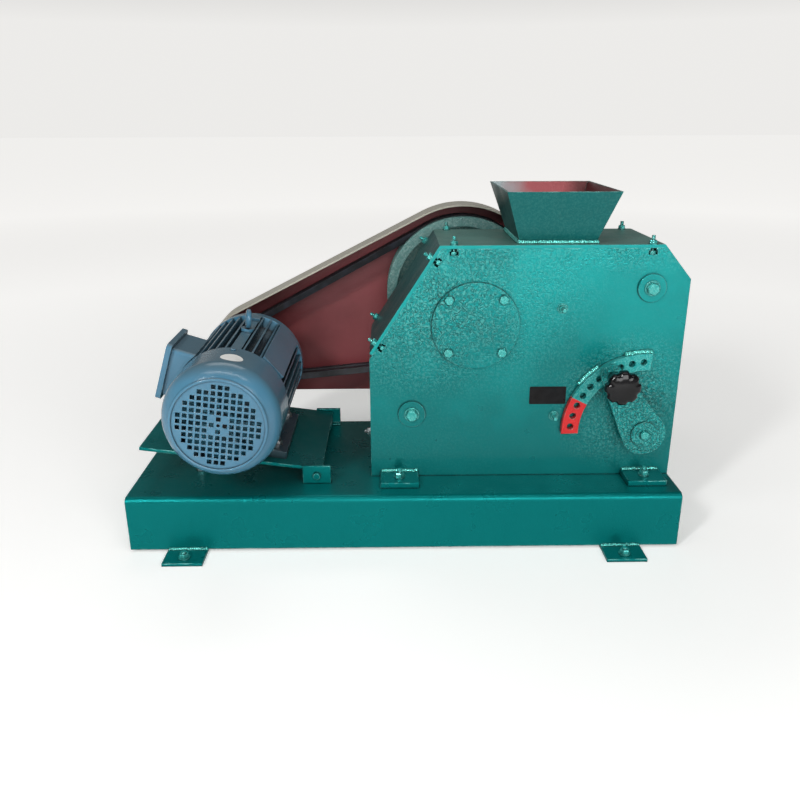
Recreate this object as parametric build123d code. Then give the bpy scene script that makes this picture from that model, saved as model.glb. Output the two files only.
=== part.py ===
"""Laboratory jaw crusher with its belt drive and motor on one folded base.

Millimetres. X runs along the base, towards the crusher body. Y runs from the
control side (front) to the belt side (rear). Z is up, and the origin is on the
floor at the centre of the four foot holes.
"""
from build123d import *
from math import asin, atan2, cos, degrees, hypot, radians, sin
import os

# Base tray
MOTOR_BAY = 373.0
BASE_WIDTH = 324.0
BASE_HEIGHT = 92.0
BASE_SHEET = 5.0
BASE_BEND = 9.0
FOOT_WIDTH = 61.0
FOOT_REACH = 42.0
FOOT_THICK = 5.0
FOOT_FROM_END = 89.0
FOOT_UNDER = 12.0
FOOT_HOLE_OUT = 25.0
FOOT_HOLE_R = 6.0

# Crusher body, an outline of welded and bolted plates
BODY_WIDTH = 176.0
BODY_PLATE = 12.0
BODY_SHEET = 5.0
BODY_SHOULDER = 205.0
BODY_TOP = 367.0
BODY_SLANT_RUN = 105.0
CHAMFER_RUN = 43.0
CHAMFER_DROP = 51.0
HOLD_DOWN_WIDTH = 60.0
HOLD_DOWN_REACH = 45.0
HOLD_DOWN_THICK = 9.0
HOLD_DOWN_HOLE_R = 5.5
HOLD_DOWN_LEFT_INSET = 45.0
HOLD_DOWN_RIGHT_INSET = 46.0
STUD_HOLE_R = 4.3
SLOT_DEPTH = 3.5
POCKET_WIDTH = 13.0
POCKET_HEIGHT = 6.0
TOP_STUD_INSET = (21.0, 60.0)
SLANT_STUD_SHARE = (0.09, 0.886)

# Hopper, four sloping sheets
HOPPER_SHEET = 3.0
HOPPER_HEIGHT = 76.0
HOPPER_FROM_SHAFT = 120.0
HOPPER_FOOT = (112.0, 142.0)
HOPPER_RIM = (164.0, 200.0)
THROAT_LEDGE = (2.5, 3.0)

# Eccentric shaft, its bearings and the crusher pulley
SHAFT_FROM_LEFT = 160.0
SHAFT_DROP = 119.5
SHAFT_R = 20.0
SHAFT_FRONT_GAP = 6.0
ECCENTRIC_R = 27.0
ECCENTRIC_OFFSET = 4.0
BEARING_R = 42.0
COVER_R = 66.0
COVER_THICK = 6.0
RUNNING_GAP = 0.05
TOUCH_GAP = 0.3
PULLEY_R = 133.0
PULLEY_RIM = 17.0
PULLEY_WEB = 12.0
PULLEY_FLANGE = 12.0
PULLEY_HUB_R = 36.0
PULLEY_GAP = 25.0
SHAFT_PAST_PULLEY = 5.0

# V-belts
BELT_TOP = 17.0
BELT_DEEP = 11.0
BELT_TAPER = 3.4
BELT_PITCH = 19.0
BELT_PROUD = 1.5
GROOVE_EDGE = 4.0
GROOVE_FLOOR = 2.0

# Jaws and what carries them
JAW_SIDE_GAP = 2.0
JAW_PLATE = 11.0
JAW_TOOTH = 5.0
JAW_TEETH = 10
JAW_FRAME_INSET = 2.0
JAW_TOP_GAP = 9.0
JAW_FOOT_RISE = 48.0
MOVING_FACE_FROM_SHAFT = (72.0, 121.0)
CHAMBER_GAP = (97.0, 18.0)
MOVING_HEEL = (22.0, 5.0)
MOVING_HEEL_RISE = 14.0
MOVING_WAIST = (18.0, 40.0)
MOVING_NECK = (20.0, 38.0)
MOVING_CREST = (12.0, 70.0)
FIXED_SEAT_RISE = 22.0
FIXED_BACK = (26.0, 50.0)
FIXED_NECK = (24.0, 30.0)
HUB_R = 46.0
CHEEK_THICK = 12.0
BAR_R = 14.0
BAR_WASHER_R = 21.0
BAR_WASHER_THICK = 4.0
HANGER_FROM_FACE = 91.0
HANGER_DROP = 63.5
BODY_PAST_HANGER = 57.0
HANGER_BOSS_R = 30.0
TOGGLE_SEAT_IN = 64.5
TOGGLE_SEAT_RISE = 107.0
TOGGLE_THICK = 12.0
TOGGLE_SIDE_GAP = 10.0
TOGGLE_NOTCH_FROM_SHAFT = 62.0
TOGGLE_NOTCH_RISE = 80.0
TOGGLE_NOTCH_HALF = 20.0

# Adjusting lever, its quadrant of index holes and the pull knob
LEVER_PAST_HANGER = 4.0
LEVER_RISE = 78.8
LEVER_SHAFT_R = 20.0
LEVER_NECK_R = 14.0
LEVER_HOLE_R = 112.3
LEVER_FIRST_ANGLE = 93.5
LEVER_STEP_ANGLE = 9.15
LEVER_HOLES = 10
LEVER_REST = 3
QUADRANT_BAND = 26.0
QUADRANT_THICK = 10.0
QUADRANT_END_ANGLE = 6.0
ARM_GAP = 5.0
ARM_THICK = 8.0
ARM_ROOT_R = 34.0
ARM_TIP_R = 16.0
ARM_WASHER_R = 20.3
ARM_WASHER_THICK = 3.0
PIN_R = 4.2
INDEX_HOLE_R = 5.2
PIN_TRAVEL = 14.0
KNOB_R = 26.2
KNOB_LOBES = 8
KNOB_THICK = 18.0
KNOB_HUB_R = 11.0
KNOB_HUB = 36.7

# Motor plate, hinged at its right end and held up by two jack screws
HINGE_OUT = 85.0
HINGE_RISE = 14.0
HINGE_ROD_R = 5.5
PLATE_TILT = 7.8
PLATE_THICK = 5.0
PLATE_LEFT = -278.0
PLATE_RIGHT = 7.0
PLATE_FRONT = -108.0
PLATE_REAR = 142.0
SLEEVE_R = 9.0
SLEEVE_LENGTH = 35.0
SLEEVE_INSET = 12.0
BRACKET_WIDTH = 44.0
BRACKET_HEIGHT = 30.0
BRACKET_THICK = 5.0
BRACKET_FOOT = 18.0
JACK_X = -196.0
JACK_Y = (-55.0, 95.0)
JACK_R = 6.0
JACK_NUT = 18.0
JACK_NUT_THICK = 9.0

# Motor, in the frame of the tilted plate
MOTOR_X = -142.3
MOTOR_HEIGHT = 90.0
MOTOR_CORE_R = 70.0
MOTOR_FIN_R = 87.0
MOTOR_FIN_THICK = 2.6
MOTOR_FIN_ANGLE = 9.0
MOTOR_FIN_SINK = 4.0
MOTOR_FRONT = -125.0
MOTOR_LENGTH = 222.0
FIN_GAP = 1.0
FINLESS_ANGLES = (212.0, 328.0)
BOSS_BREAK_ANGLE = 6.0
LUG_WIDTH = 20.0
LUG_LENGTH = 18.0
LUG_TOP_R = 88.0
MOTOR_END_THICK = 12.0
FOOT_HALF = 90.0
FOOT_INNER = 46.0
MOTOR_FOOT_THICK = 11.0
FOOT_ROOT = (12.0, 15.0)
FOOT_WEB_OUT = (52.0, -38.0)
FOOT_WEB_IN = (26.0, -58.0)
MOTOR_FOOT_ALONG = (37.0, 207.0)
MOTOR_BOLT_X = 72.0
MOTOR_BOLT_ALONG = (64.0, 189.0)
MOTOR_BOLT_R = 5.0
COWL_R = 86.8
COWL_SHEET = 2.0
COWL_DEPTH = 77.0
COWL_ROUND = 34.0
COWL_LAP = 24.0
RIM_R = 68.5
RIM_WIRE_R = 2.5
RIM_SET = 2.7
GRILLE_SET = 3.1
GRILLE_THICK = 1.5
GRILLE_R = 66.8
GRILLE_REACH = 6.2
GRILLE_CENTRE_R = 2.5
GRILLE_HOLE = 6.6
GRILLE_PITCH = 9.55
SHIELD_R = 88.0
SHIELD_THICK = 21.0
SHIELD_BOSS_R = 30.0
SHIELD_BOSS = 6.0
SHIELD_CHAMFER = 4.0
ROTOR_R = 12.0
FAN_R = 70.0
FAN_HUB_R = 18.0
FAN_BLADES = 7
FAN_BLADE_THICK = 3.0
FAN_OUT = 52.0
FAN_SHAFT_END = 4.0
FAN_WIDTH = 24.0
FAN_BACK = 3.0
MOTOR_PULLEY_R = 57.0

# Terminal box on the motor's left and the lifting eye on its top
BOX_ANGLE = 170.0
BOX_IN = 58.0
BOX_OUT = 106.0
BOX_LID_THICK = 8.0
BOX_LOW = -26.0
BOX_HIGH = 52.0
BOX_ALONG = (36.0, 128.0)
BOX_ROUND = 6.0
LID_LIP = 6.0
LID_ROUND = 8.0
NECK_SIDES = (-32.0, 14.0)
NECK_INSET = 12.0
NECK_ROOT = 8.0
NECK_REACH = 6.0
BOX_MIDDLE_ANGLE = 163.0
BOX_BREAK_ANGLE = 22.0
EYE_ALONG = 139.0
EYE_COLLAR_R = 11.0
EYE_COLLAR = 5.0
EYE_RING_R = 12.0
EYE_WIRE_R = 4.0
EYE_ANGLE = 14.0
EYE_SINK = 1.0
BOSS_WIDTH = 16.0
BOSS_TOP_R = 83.0
PAD_ANGLE = 47.0
PAD_WIDTH = 43.0
PAD_R = 88.5
PAD_SINK = 6.0
PAD_BREAK_ANGLE = 16.0

# Belt guard, a back sheet with a flange round its top
GUARD_SHEET = 3.0
GUARD_LAP = 3.0
GUARD_BEHIND = 6.0
GUARD_PULLEY_GAP = 20.0
GUARD_MOTOR_GAP = 30.0
GUARD_FOOT_RISE = 45.0
GUARD_BAR_WIDTH = 30.0
GUARD_BAR_THICK = 6.0
GUARD_BAR_LOW = 25.0
GUARD_BAR_LAP = 60.0
GUARD_BAR_OUT = (113.0, 38.0)

BODY_FRONT = -BODY_WIDTH / 2
BODY_REAR = BODY_WIDTH / 2
BODY_INSIDE = BODY_WIDTH / 2 - BODY_PLATE
BODY_LENGTH = (SHAFT_FROM_LEFT + MOVING_FACE_FROM_SHAFT[0] + CHAMBER_GAP[0]
               + HANGER_FROM_FACE + BODY_PAST_HANGER)
BASE_LENGTH = MOTOR_BAY + BODY_LENGTH
BODY_RIGHT = BASE_LENGTH / 2
BODY_LEFT = BODY_RIGHT - BODY_LENGTH
TOP_Z = BASE_HEIGHT + BODY_TOP
SHOULDER_Z = BASE_HEIGHT + BODY_SHOULDER
SLANT_LENGTH = hypot(BODY_SLANT_RUN, TOP_Z - SHOULDER_Z)
SLANT_ANGLE = atan2(TOP_Z - SHOULDER_Z, BODY_SLANT_RUN)
TOP_STUD_X = (BODY_LEFT + BODY_SLANT_RUN + TOP_STUD_INSET[0], BODY_RIGHT - TOP_STUD_INSET[1])
SHAFT_X = BODY_LEFT + SHAFT_FROM_LEFT
SHAFT_Z = TOP_Z - SHAFT_DROP
HOPPER_X = SHAFT_X + HOPPER_FROM_SHAFT
THROAT = [HOPPER_FOOT[i] - 2 * HOPPER_SHEET - 2 * THROAT_LEDGE[i] for i in range(2)]
JAW_WIDTH = 2 * (BODY_INSIDE - CHEEK_THICK - JAW_SIDE_GAP)
JAW_FRAME_WIDTH = JAW_WIDTH - 2 * JAW_FRAME_INSET
JAW_TOP = TOP_Z - BODY_SHEET - JAW_TOP_GAP
JAW_FOOT = BASE_HEIGHT + JAW_FOOT_RISE
MOVING_FACE = [SHAFT_X + out for out in MOVING_FACE_FROM_SHAFT]
FIXED_FACE = [MOVING_FACE[i] + CHAMBER_GAP[i] for i in range(2)]
HANGER = (FIXED_FACE[0] + HANGER_FROM_FACE, TOP_Z - HANGER_DROP)
TOGGLE_SEAT = (BODY_LEFT + TOGGLE_SEAT_IN, BASE_HEIGHT + TOGGLE_SEAT_RISE)
TOGGLE_NOTCH = (SHAFT_X + TOGGLE_NOTCH_FROM_SHAFT, BASE_HEIGHT + TOGGLE_NOTCH_RISE)
TOGGLE_WIDTH = JAW_FRAME_WIDTH - 2 * TOGGLE_SIDE_GAP
LEVER = (HANGER[0] + LEVER_PAST_HANGER, BASE_HEIGHT + LEVER_RISE)
LEVER_AT_REST = LEVER_FIRST_ANGLE + LEVER_REST * LEVER_STEP_ANGLE
ARM_BACK = BODY_FRONT - QUADRANT_THICK - ARM_GAP
ARM_FRONT = ARM_BACK - ARM_THICK
MOTOR_REAR = MOTOR_FRONT + MOTOR_LENGTH
PULLEY_FRONT = MOTOR_REAR + SHIELD_THICK + SHIELD_BOSS + PULLEY_GAP
PULLEY_WIDTH = PULLEY_FLANGE + BELT_TOP + BELT_PITCH + GROOVE_EDGE
PULLEY_REAR = PULLEY_FRONT + PULLEY_WIDTH
BELT_Y = [PULLEY_FRONT + PULLEY_FLANGE + BELT_TOP / 2 + i * BELT_PITCH for i in range(2)]
HINGE_X = BODY_LEFT - HINGE_OUT
HINGE_Z = BASE_HEIGHT + HINGE_RISE
PLATE_TOP = HINGE_ROD_R + TOUCH_GAP + PLATE_THICK
MOTOR_Z = PLATE_TOP + MOTOR_HEIGHT
MOTOR_FOOT_Y = [MOTOR_FRONT + along for along in MOTOR_FOOT_ALONG]
MOTOR_BOLT_Y = [MOTOR_FRONT + along for along in MOTOR_BOLT_ALONG]
BOX_Y = [MOTOR_FRONT + along for along in BOX_ALONG]
EYE_Y = MOTOR_FRONT + EYE_ALONG
COWL_FRONT = MOTOR_FRONT - COWL_DEPTH
FAN_FRONT = MOTOR_FRONT - FAN_OUT
COWL_REAR = MOTOR_FRONT + COWL_LAP
FIN_FRONT = COWL_REAR + FIN_GAP
MOTOR_FIN_ROOT = MOTOR_CORE_R - MOTOR_FIN_SINK
FIN_BREAKS = ((PAD_ANGLE, PAD_BREAK_ANGLE, MOTOR_REAR),
              (BOX_MIDDLE_ANGLE, BOX_BREAK_ANGLE, BOX_Y[1]),
              (90.0, BOSS_BREAK_ANGLE, MOTOR_REAR))
GUARD_FRONT = PULLEY_FRONT + GUARD_LAP
GUARD_REAR = PULLEY_REAR + SHAFT_PAST_PULLEY + GUARD_BEHIND + GUARD_SHEET
GUARD_FOOT = BASE_HEIGHT + GUARD_FOOT_RISE
GUARD_BAR_X = (HINGE_X - GUARD_BAR_OUT[0], SHAFT_X - GUARD_BAR_OUT[1])


def tilted(shape):
    """Move a shape from the frame of the hinged motor plate to the part's frame."""
    return Pos(HINGE_X, 0, HINGE_Z) * Rot(0, PLATE_TILT, 0) * shape


def tilted_point(x, z):
    """Give the part's X and Z of a point in the hinged plate's frame."""
    turn = radians(PLATE_TILT)
    return (HINGE_X + x * cos(turn) + z * sin(turn), HINGE_Z - x * sin(turn) + z * cos(turn))


MOTOR_AXIS = tilted_point(MOTOR_X, MOTOR_Z)


def block(x, y, z):
    """Make a box from three pairs of limits."""
    size = [high - low for low, high in (x, y, z)]
    middle = [(low + high) / 2 for low, high in (x, y, z)]
    return Pos(*middle) * Box(*size)


def side_sketch(points):
    """Make a polygon from X, Z points, lying in the plane Y = 0."""
    return Plane.XZ * make_face(Polyline(*points, close=True))


def across(sketch, y_low, y_high):
    """Extrude a sketch that lies in the plane Y = 0 over a range of Y."""
    return Pos(0, y_high, 0) * extrude(sketch, y_high - y_low, dir=(0, -1, 0))


def disc(x, z, radius, y_low, y_high):
    """Make a cylinder along Y."""
    middle = (y_low + y_high) / 2
    return Pos(x, middle, z) * Rot(90, 0, 0) * Cylinder(radius, y_high - y_low)


def spun(profile, x, z):
    """Turn a list of radius, Y points about the axis along Y at X, Z."""
    face = Plane.XY * make_face(Polyline(*profile, close=True))
    return Pos(x, 0, z) * revolve(face, Axis.Y)


def tangent_outline(first, first_r, second, second_r):
    """Make the outline of a band drawn tight round two circles, in the plane Y = 0."""
    run = hypot(second[0] - first[0], second[1] - first[1])
    heading = atan2(second[1] - first[1], second[0] - first[0])
    lean = asin((first_r - second_r) / run)
    corners = []
    for centre, radius, side in ((first, first_r, 1), (second, second_r, 1),
                                 (second, second_r, -1), (first, first_r, -1)):
        angle = heading + side * (radians(90) - lean)
        corners.append((centre[0] + radius * cos(angle), centre[1] + radius * sin(angle)))
    band = side_sketch(corners)
    for centre, radius in ((first, first_r), (second, second_r)):
        band += Plane.XZ * Pos(*centre) * Circle(radius)
    return band


def base_frame():
    """Fold the tray's top and its front and rear skirts from one sheet."""
    outer = Plane.YZ * Pos(0, (FOOT_THICK + BASE_HEIGHT) / 2) * Rectangle(
        BASE_WIDTH, BASE_HEIGHT - FOOT_THICK)
    inner = Plane.YZ * Pos(0, (FOOT_THICK + BASE_HEIGHT - BASE_SHEET) / 2) * Rectangle(
        BASE_WIDTH - 2 * BASE_SHEET, BASE_HEIGHT - BASE_SHEET - FOOT_THICK)
    outer = fillet(outer.vertices().group_by(Axis.Z)[-1], BASE_BEND)
    inner = fillet(inner.vertices().group_by(Axis.Z)[-1], BASE_BEND - BASE_SHEET)
    tray = Pos(-BASE_LENGTH / 2, 0, 0) * extrude(outer - inner, BASE_LENGTH, dir=(1, 0, 0))
    foot_x = (FIXED_FACE[1] + MOVING_FACE[1]) / 2
    chute = block((foot_x - THROAT[0] / 2, foot_x + THROAT[0] / 2),
                  (-THROAT[1] / 2, THROAT[1] / 2), (BASE_HEIGHT - 2 * BASE_SHEET, BASE_HEIGHT + 1))
    return tray - chute


def base_ends():
    """Close both ends of the tray with a plate between its skirts."""
    plate = Plane.YZ * Pos(0, (FOOT_THICK + BASE_HEIGHT - BASE_SHEET) / 2) * Rectangle(
        BASE_WIDTH - 2 * BASE_SHEET, BASE_HEIGHT - BASE_SHEET - FOOT_THICK)
    plate = fillet(plate.vertices().group_by(Axis.Z)[-1], BASE_BEND - BASE_SHEET)
    left = Pos(-BASE_LENGTH / 2, 0, 0) * extrude(plate, BASE_SHEET, dir=(1, 0, 0))
    right = Pos(BASE_LENGTH / 2 - BASE_SHEET, 0, 0) * extrude(plate, BASE_SHEET, dir=(1, 0, 0))
    return Compound(children=[left, right])


def mounting_feet():
    """Weld four drilled plates under the lower edges of the skirts."""
    feet = []
    for end in (-1, 1):
        for side in (-1, 1):
            x = end * (BASE_LENGTH / 2 - FOOT_FROM_END)
            near = side * (BASE_WIDTH / 2 - FOOT_UNDER)
            far = side * (BASE_WIDTH / 2 + FOOT_REACH)
            hole = side * (BASE_WIDTH / 2 + FOOT_HOLE_OUT)
            plate = block((x - FOOT_WIDTH / 2, x + FOOT_WIDTH / 2),
                          (min(near, far), max(near, far)), (0, FOOT_THICK))
            feet.append(plate - Pos(x, hole, FOOT_THICK / 2)
                        * Cylinder(FOOT_HOLE_R, 2 * FOOT_THICK))
    return Compound(children=feet)


def slant_point(share, depth):
    """Give the X, Z of a point along the slanted edge, a depth below its outer face."""
    along = share * SLANT_LENGTH
    return (BODY_LEFT + along * cos(SLANT_ANGLE) + depth * sin(SLANT_ANGLE),
            SHOULDER_Z + along * sin(SLANT_ANGLE) - depth * cos(SLANT_ANGLE))


def body_outline(inset):
    """Give the corners of the body's left, slanted and top faces, moved inward."""
    left = BODY_LEFT + inset
    top = TOP_Z - inset
    start = slant_point(0, inset)
    slope = (TOP_Z - SHOULDER_Z) / BODY_SLANT_RUN
    shoulder = (left, start[1] + (left - start[0]) * slope)
    crest = (start[0] + (top - start[1]) / slope, top)
    return shoulder, crest


def t_slot():
    """Cut a stud slot that opens upward at the origin, with its nut pocket below."""
    slot_top = BODY_SHEET + 1
    slot_low = -SLOT_DEPTH - POCKET_HEIGHT
    slot = side_sketch([(-STUD_HOLE_R, slot_low), (STUD_HOLE_R, slot_low),
                        (STUD_HOLE_R, slot_top), (-STUD_HOLE_R, slot_top)])
    pocket = side_sketch([(-POCKET_WIDTH / 2, slot_low), (POCKET_WIDTH / 2, slot_low),
                          (POCKET_WIDTH / 2, -SLOT_DEPTH), (-POCKET_WIDTH / 2, -SLOT_DEPTH)])
    return across(slot + pocket, -BODY_PLATE, BODY_PLATE)


def side_plate(y_low, y_high):
    """Cut one side plate: its outline, stud slots, and the bores of shaft, bars and lever."""
    shoulder, crest = body_outline(BODY_SHEET)
    chamfer_x = BODY_RIGHT - CHAMFER_RUN + BODY_SHEET * CHAMFER_RUN / CHAMFER_DROP
    points = [(BODY_LEFT, BASE_HEIGHT), (BODY_LEFT, slant_point(0, BODY_SHEET)[1]
               - (slant_point(0, BODY_SHEET)[0] - BODY_LEFT)
               * (TOP_Z - SHOULDER_Z) / BODY_SLANT_RUN),
              crest, (chamfer_x, TOP_Z - BODY_SHEET),
              (BODY_RIGHT, TOP_Z - CHAMFER_DROP), (BODY_RIGHT, BASE_HEIGHT)]
    plate = across(side_sketch(points), y_low, y_high)
    middle = (y_low + y_high) / 2
    for x in TOP_STUD_X:
        plate -= Pos(x, middle, TOP_Z - BODY_SHEET) * t_slot()
    for share in SLANT_STUD_SHARE:
        x, z = slant_point(share, BODY_SHEET)
        plate -= Pos(x, middle, z) * Rot(0, -degrees(SLANT_ANGLE), 0) * t_slot()
    for (x, z), radius in (((SHAFT_X, SHAFT_Z), BEARING_R), (HANGER, BAR_R),
                           (TOGGLE_SEAT, BAR_R), (LEVER, LEVER_SHAFT_R + RUNNING_GAP)):
        plate -= disc(x, z, radius, y_low - 1, y_high + 1)
    return plate


def cover_plate():
    """Fold the slanted and top cover from one sheet, with its throat and stud holes."""
    outer_shoulder, outer_crest = body_outline(0)
    inner_shoulder, inner_crest = body_outline(BODY_SHEET)
    low = slant_point(0, BODY_SHEET)
    right = BODY_RIGHT - CHAMFER_RUN
    sheet = side_sketch([outer_shoulder, outer_crest, (right, TOP_Z),
                         (right + BODY_SHEET * CHAMFER_RUN / CHAMFER_DROP, TOP_Z - BODY_SHEET),
                         inner_crest, low])
    cover = across(sheet, BODY_FRONT, BODY_REAR)
    cover -= block((HOPPER_X - THROAT[0] / 2, HOPPER_X + THROAT[0] / 2),
                   (-THROAT[1] / 2, THROAT[1] / 2), (TOP_Z - 2 * BODY_SHEET, TOP_Z + 1))
    row = BODY_WIDTH / 2 - BODY_PLATE / 2
    drill = Cylinder(STUD_HOLE_R, 6 * BODY_SHEET)
    for y in (-row, row):
        for x in TOP_STUD_X:
            cover -= Pos(x, y, TOP_Z) * drill
        for share in SLANT_STUD_SHARE:
            x, z = slant_point(share, 0)
            cover -= Pos(x, y, z) * Rot(0, -degrees(SLANT_ANGLE), 0) * drill
    return cover


def left_end_wall():
    """Close the body's left end between the side plates, up to the slanted cover."""
    low = slant_point(0, BODY_SHEET)
    slope = (TOP_Z - SHOULDER_Z) / BODY_SLANT_RUN
    outer_top = low[1] - (low[0] - BODY_LEFT) * slope
    inner_top = outer_top + BODY_SHEET * slope
    points = [(BODY_LEFT, BASE_HEIGHT), (BODY_LEFT + BODY_SHEET, BASE_HEIGHT),
              (BODY_LEFT + BODY_SHEET, inner_top), (BODY_LEFT, outer_top)]
    return across(side_sketch(points), -BODY_INSIDE, BODY_INSIDE)


def right_end_wall():
    """Fold the right wall and its chamfered top from one sheet between the side plates."""
    lean = CHAMFER_RUN / CHAMFER_DROP
    face = hypot(1, lean) * BODY_SHEET
    top = TOP_Z - BODY_SHEET
    top_x = BODY_RIGHT - CHAMFER_RUN + BODY_SHEET * lean
    corner_z = TOP_Z - CHAMFER_DROP
    inner_z = corner_z + (BODY_SHEET - face) / lean
    points = [(BODY_RIGHT, BASE_HEIGHT), (BODY_RIGHT, corner_z), (top_x, top),
              (top_x - face, top), (BODY_RIGHT - BODY_SHEET, inner_z),
              (BODY_RIGHT - BODY_SHEET, BASE_HEIGHT)]
    return across(side_sketch(points), -BODY_INSIDE, BODY_INSIDE)


def hopper():
    """Weld four sloping sheets into a funnel that stands on the cover."""
    def level(size, z):
        return Plane.XY.offset(z) * Pos(HOPPER_X, 0) * Rectangle(*size)
    inner_foot = [side - 2 * HOPPER_SHEET for side in HOPPER_FOOT]
    inner_rim = [side - 2 * HOPPER_SHEET for side in HOPPER_RIM]
    outside = loft([level(HOPPER_FOOT, TOP_Z), level(HOPPER_RIM, TOP_Z + HOPPER_HEIGHT)])
    inside = loft([level(inner_foot, TOP_Z), level(inner_rim, TOP_Z + HOPPER_HEIGHT)])
    return outside - inside


def hold_down_tabs():
    """Weld a drilled tab to the foot of each side plate near its corners."""
    tabs = []
    for x in (BODY_LEFT + HOLD_DOWN_LEFT_INSET, BODY_RIGHT - HOLD_DOWN_RIGHT_INSET):
        for side in (-1, 1):
            near = side * BODY_WIDTH / 2
            far = side * (BODY_WIDTH / 2 + HOLD_DOWN_REACH)
            tab = block((x - HOLD_DOWN_WIDTH / 2, x + HOLD_DOWN_WIDTH / 2),
                        (min(near, far), max(near, far)),
                        (BASE_HEIGHT, BASE_HEIGHT + HOLD_DOWN_THICK))
            tabs.append(tab - Pos(x, (near + far) / 2, BASE_HEIGHT)
                        * Cylinder(HOLD_DOWN_HOLE_R, 4 * HOLD_DOWN_THICK))
    return Compound(children=tabs)


def bearings():
    """Press a bearing ring into each side plate."""
    rings = []
    for low, high in ((BODY_FRONT, -BODY_INSIDE), (BODY_INSIDE, BODY_REAR)):
        rings.append(disc(SHAFT_X, SHAFT_Z, BEARING_R, low, high)
                     - disc(SHAFT_X, SHAFT_Z, SHAFT_R + RUNNING_GAP, low - 1, high + 1))
    return Compound(children=rings)


def bearing_cover_front():
    """Close the front bearing with a plain disc."""
    return disc(SHAFT_X, SHAFT_Z, COVER_R, BODY_FRONT - COVER_THICK, BODY_FRONT)


def bearing_cover_rear():
    """Cover the rear bearing with a ring that the shaft passes through."""
    ring = disc(SHAFT_X, SHAFT_Z, COVER_R, BODY_REAR, BODY_REAR + COVER_THICK)
    return ring - disc(SHAFT_X, SHAFT_Z, SHAFT_R + TOUCH_GAP, BODY_REAR - 1,
                       BODY_REAR + COVER_THICK + 1)


def eccentric_shaft():
    """Turn the main shaft with the eccentric that drives the moving jaw."""
    shaft = disc(SHAFT_X, SHAFT_Z, SHAFT_R, BODY_FRONT + SHAFT_FRONT_GAP,
                 PULLEY_REAR + SHAFT_PAST_PULLEY)
    half = JAW_FRAME_WIDTH / 2
    return shaft + disc(SHAFT_X + ECCENTRIC_OFFSET, SHAFT_Z, ECCENTRIC_R, -half, half)


def grooves(rim_r, centres):
    """Give the radius, Y points of V-grooves along a pulley's rim, from front to rear."""
    points = []
    lean = BELT_TAPER / BELT_DEEP
    depth = BELT_DEEP - BELT_PROUD + GROOVE_FLOOR
    mouth = BELT_TOP / 2 + TOUCH_GAP - BELT_PROUD * lean
    floor = mouth - depth * lean
    for y in sorted(centres):
        points += [(rim_r, y - mouth), (rim_r - depth, y - floor),
                   (rim_r - depth, y + floor), (rim_r, y + mouth)]
    return points


def crusher_pulley():
    """Turn the large pulley: grooved rim, recessed web and a hub on the shaft."""
    inner_r = PULLEY_R - PULLEY_RIM
    web_low = (PULLEY_FRONT + PULLEY_REAR - PULLEY_WEB) / 2
    web_high = web_low + PULLEY_WEB
    profile = [(SHAFT_R, PULLEY_FRONT), (PULLEY_HUB_R, PULLEY_FRONT), (PULLEY_HUB_R, web_low),
               (inner_r, web_low), (inner_r, PULLEY_FRONT), (PULLEY_R, PULLEY_FRONT)]
    profile += grooves(PULLEY_R, BELT_Y)
    profile += [(PULLEY_R, PULLEY_REAR), (inner_r, PULLEY_REAR), (inner_r, web_high),
                (PULLEY_HUB_R, web_high), (PULLEY_HUB_R, PULLEY_REAR), (SHAFT_R, PULLEY_REAR)]
    return spun(profile, SHAFT_X, SHAFT_Z)


def face_point(face, z):
    """Give the X of a jaw's crushing face at a height."""
    share = (JAW_TOP - z) / (JAW_TOP - JAW_FOOT)
    return face[0] + (face[1] - face[0]) * share


def jaw_plate(face, outward):
    """Cast a jaw plate with upright teeth; its back faces the outward side."""
    run = hypot(face[1] - face[0], JAW_TOP - JAW_FOOT)
    pitch = JAW_WIDTH / JAW_TEETH
    points = [(0, -JAW_WIDTH / 2)]
    for tooth in range(JAW_TEETH):
        low = -JAW_WIDTH / 2 + tooth * pitch
        points += [(JAW_PLATE, low), (JAW_PLATE + JAW_TOOTH, low + pitch / 2)]
    points += [(JAW_PLATE, JAW_WIDTH / 2), (0, JAW_WIDTH / 2)]
    slope = Vector(face[0] - face[1], 0, JAW_TOP - JAW_FOOT) / run
    inward = Vector(0, 1, 0).cross(slope) * -outward
    foot = Vector(face[1], 0, JAW_FOOT) - inward * (JAW_PLATE + JAW_TOOTH)
    plane = Plane(origin=foot, x_dir=inward, z_dir=slope)
    section = make_face(Polyline(*points, close=True))
    return extrude(plane * section, run)


def jaw_back(face, outward, z):
    """Give the X of the back of a jaw plate at a height."""
    run = hypot(face[1] - face[0], JAW_TOP - JAW_FOOT)
    return face_point(face, z) + outward * (JAW_PLATE + JAW_TOOTH) * run / (JAW_TOP - JAW_FOOT)


def moving_jaw():
    """Cast the swinging jaw: a beam behind its plate, hung from the eccentric."""
    top = jaw_back(MOVING_FACE, -1, JAW_TOP)
    foot = jaw_back(MOVING_FACE, -1, JAW_FOOT)
    points = [(top, JAW_TOP), (foot, JAW_FOOT),
              (foot - MOVING_HEEL[0], JAW_FOOT - MOVING_HEEL[1]),
              (TOGGLE_NOTCH[0], JAW_FOOT + MOVING_HEEL_RISE),
              (TOGGLE_NOTCH[0], TOGGLE_NOTCH[1] + TOGGLE_NOTCH_HALF),
              (SHAFT_X - MOVING_WAIST[0], SHAFT_Z - MOVING_WAIST[1]),
              (SHAFT_X - MOVING_NECK[0], SHAFT_Z + MOVING_NECK[1]),
              (SHAFT_X + MOVING_CREST[0], SHAFT_Z + MOVING_CREST[1])]
    half = JAW_FRAME_WIDTH / 2
    beam = across(side_sketch(points), -half, half) + disc(SHAFT_X, SHAFT_Z, HUB_R, -half, half)
    bore = ECCENTRIC_R + ECCENTRIC_OFFSET + TOUCH_GAP
    return beam - disc(SHAFT_X, SHAFT_Z, bore, -half - 1, half + 1)


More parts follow.
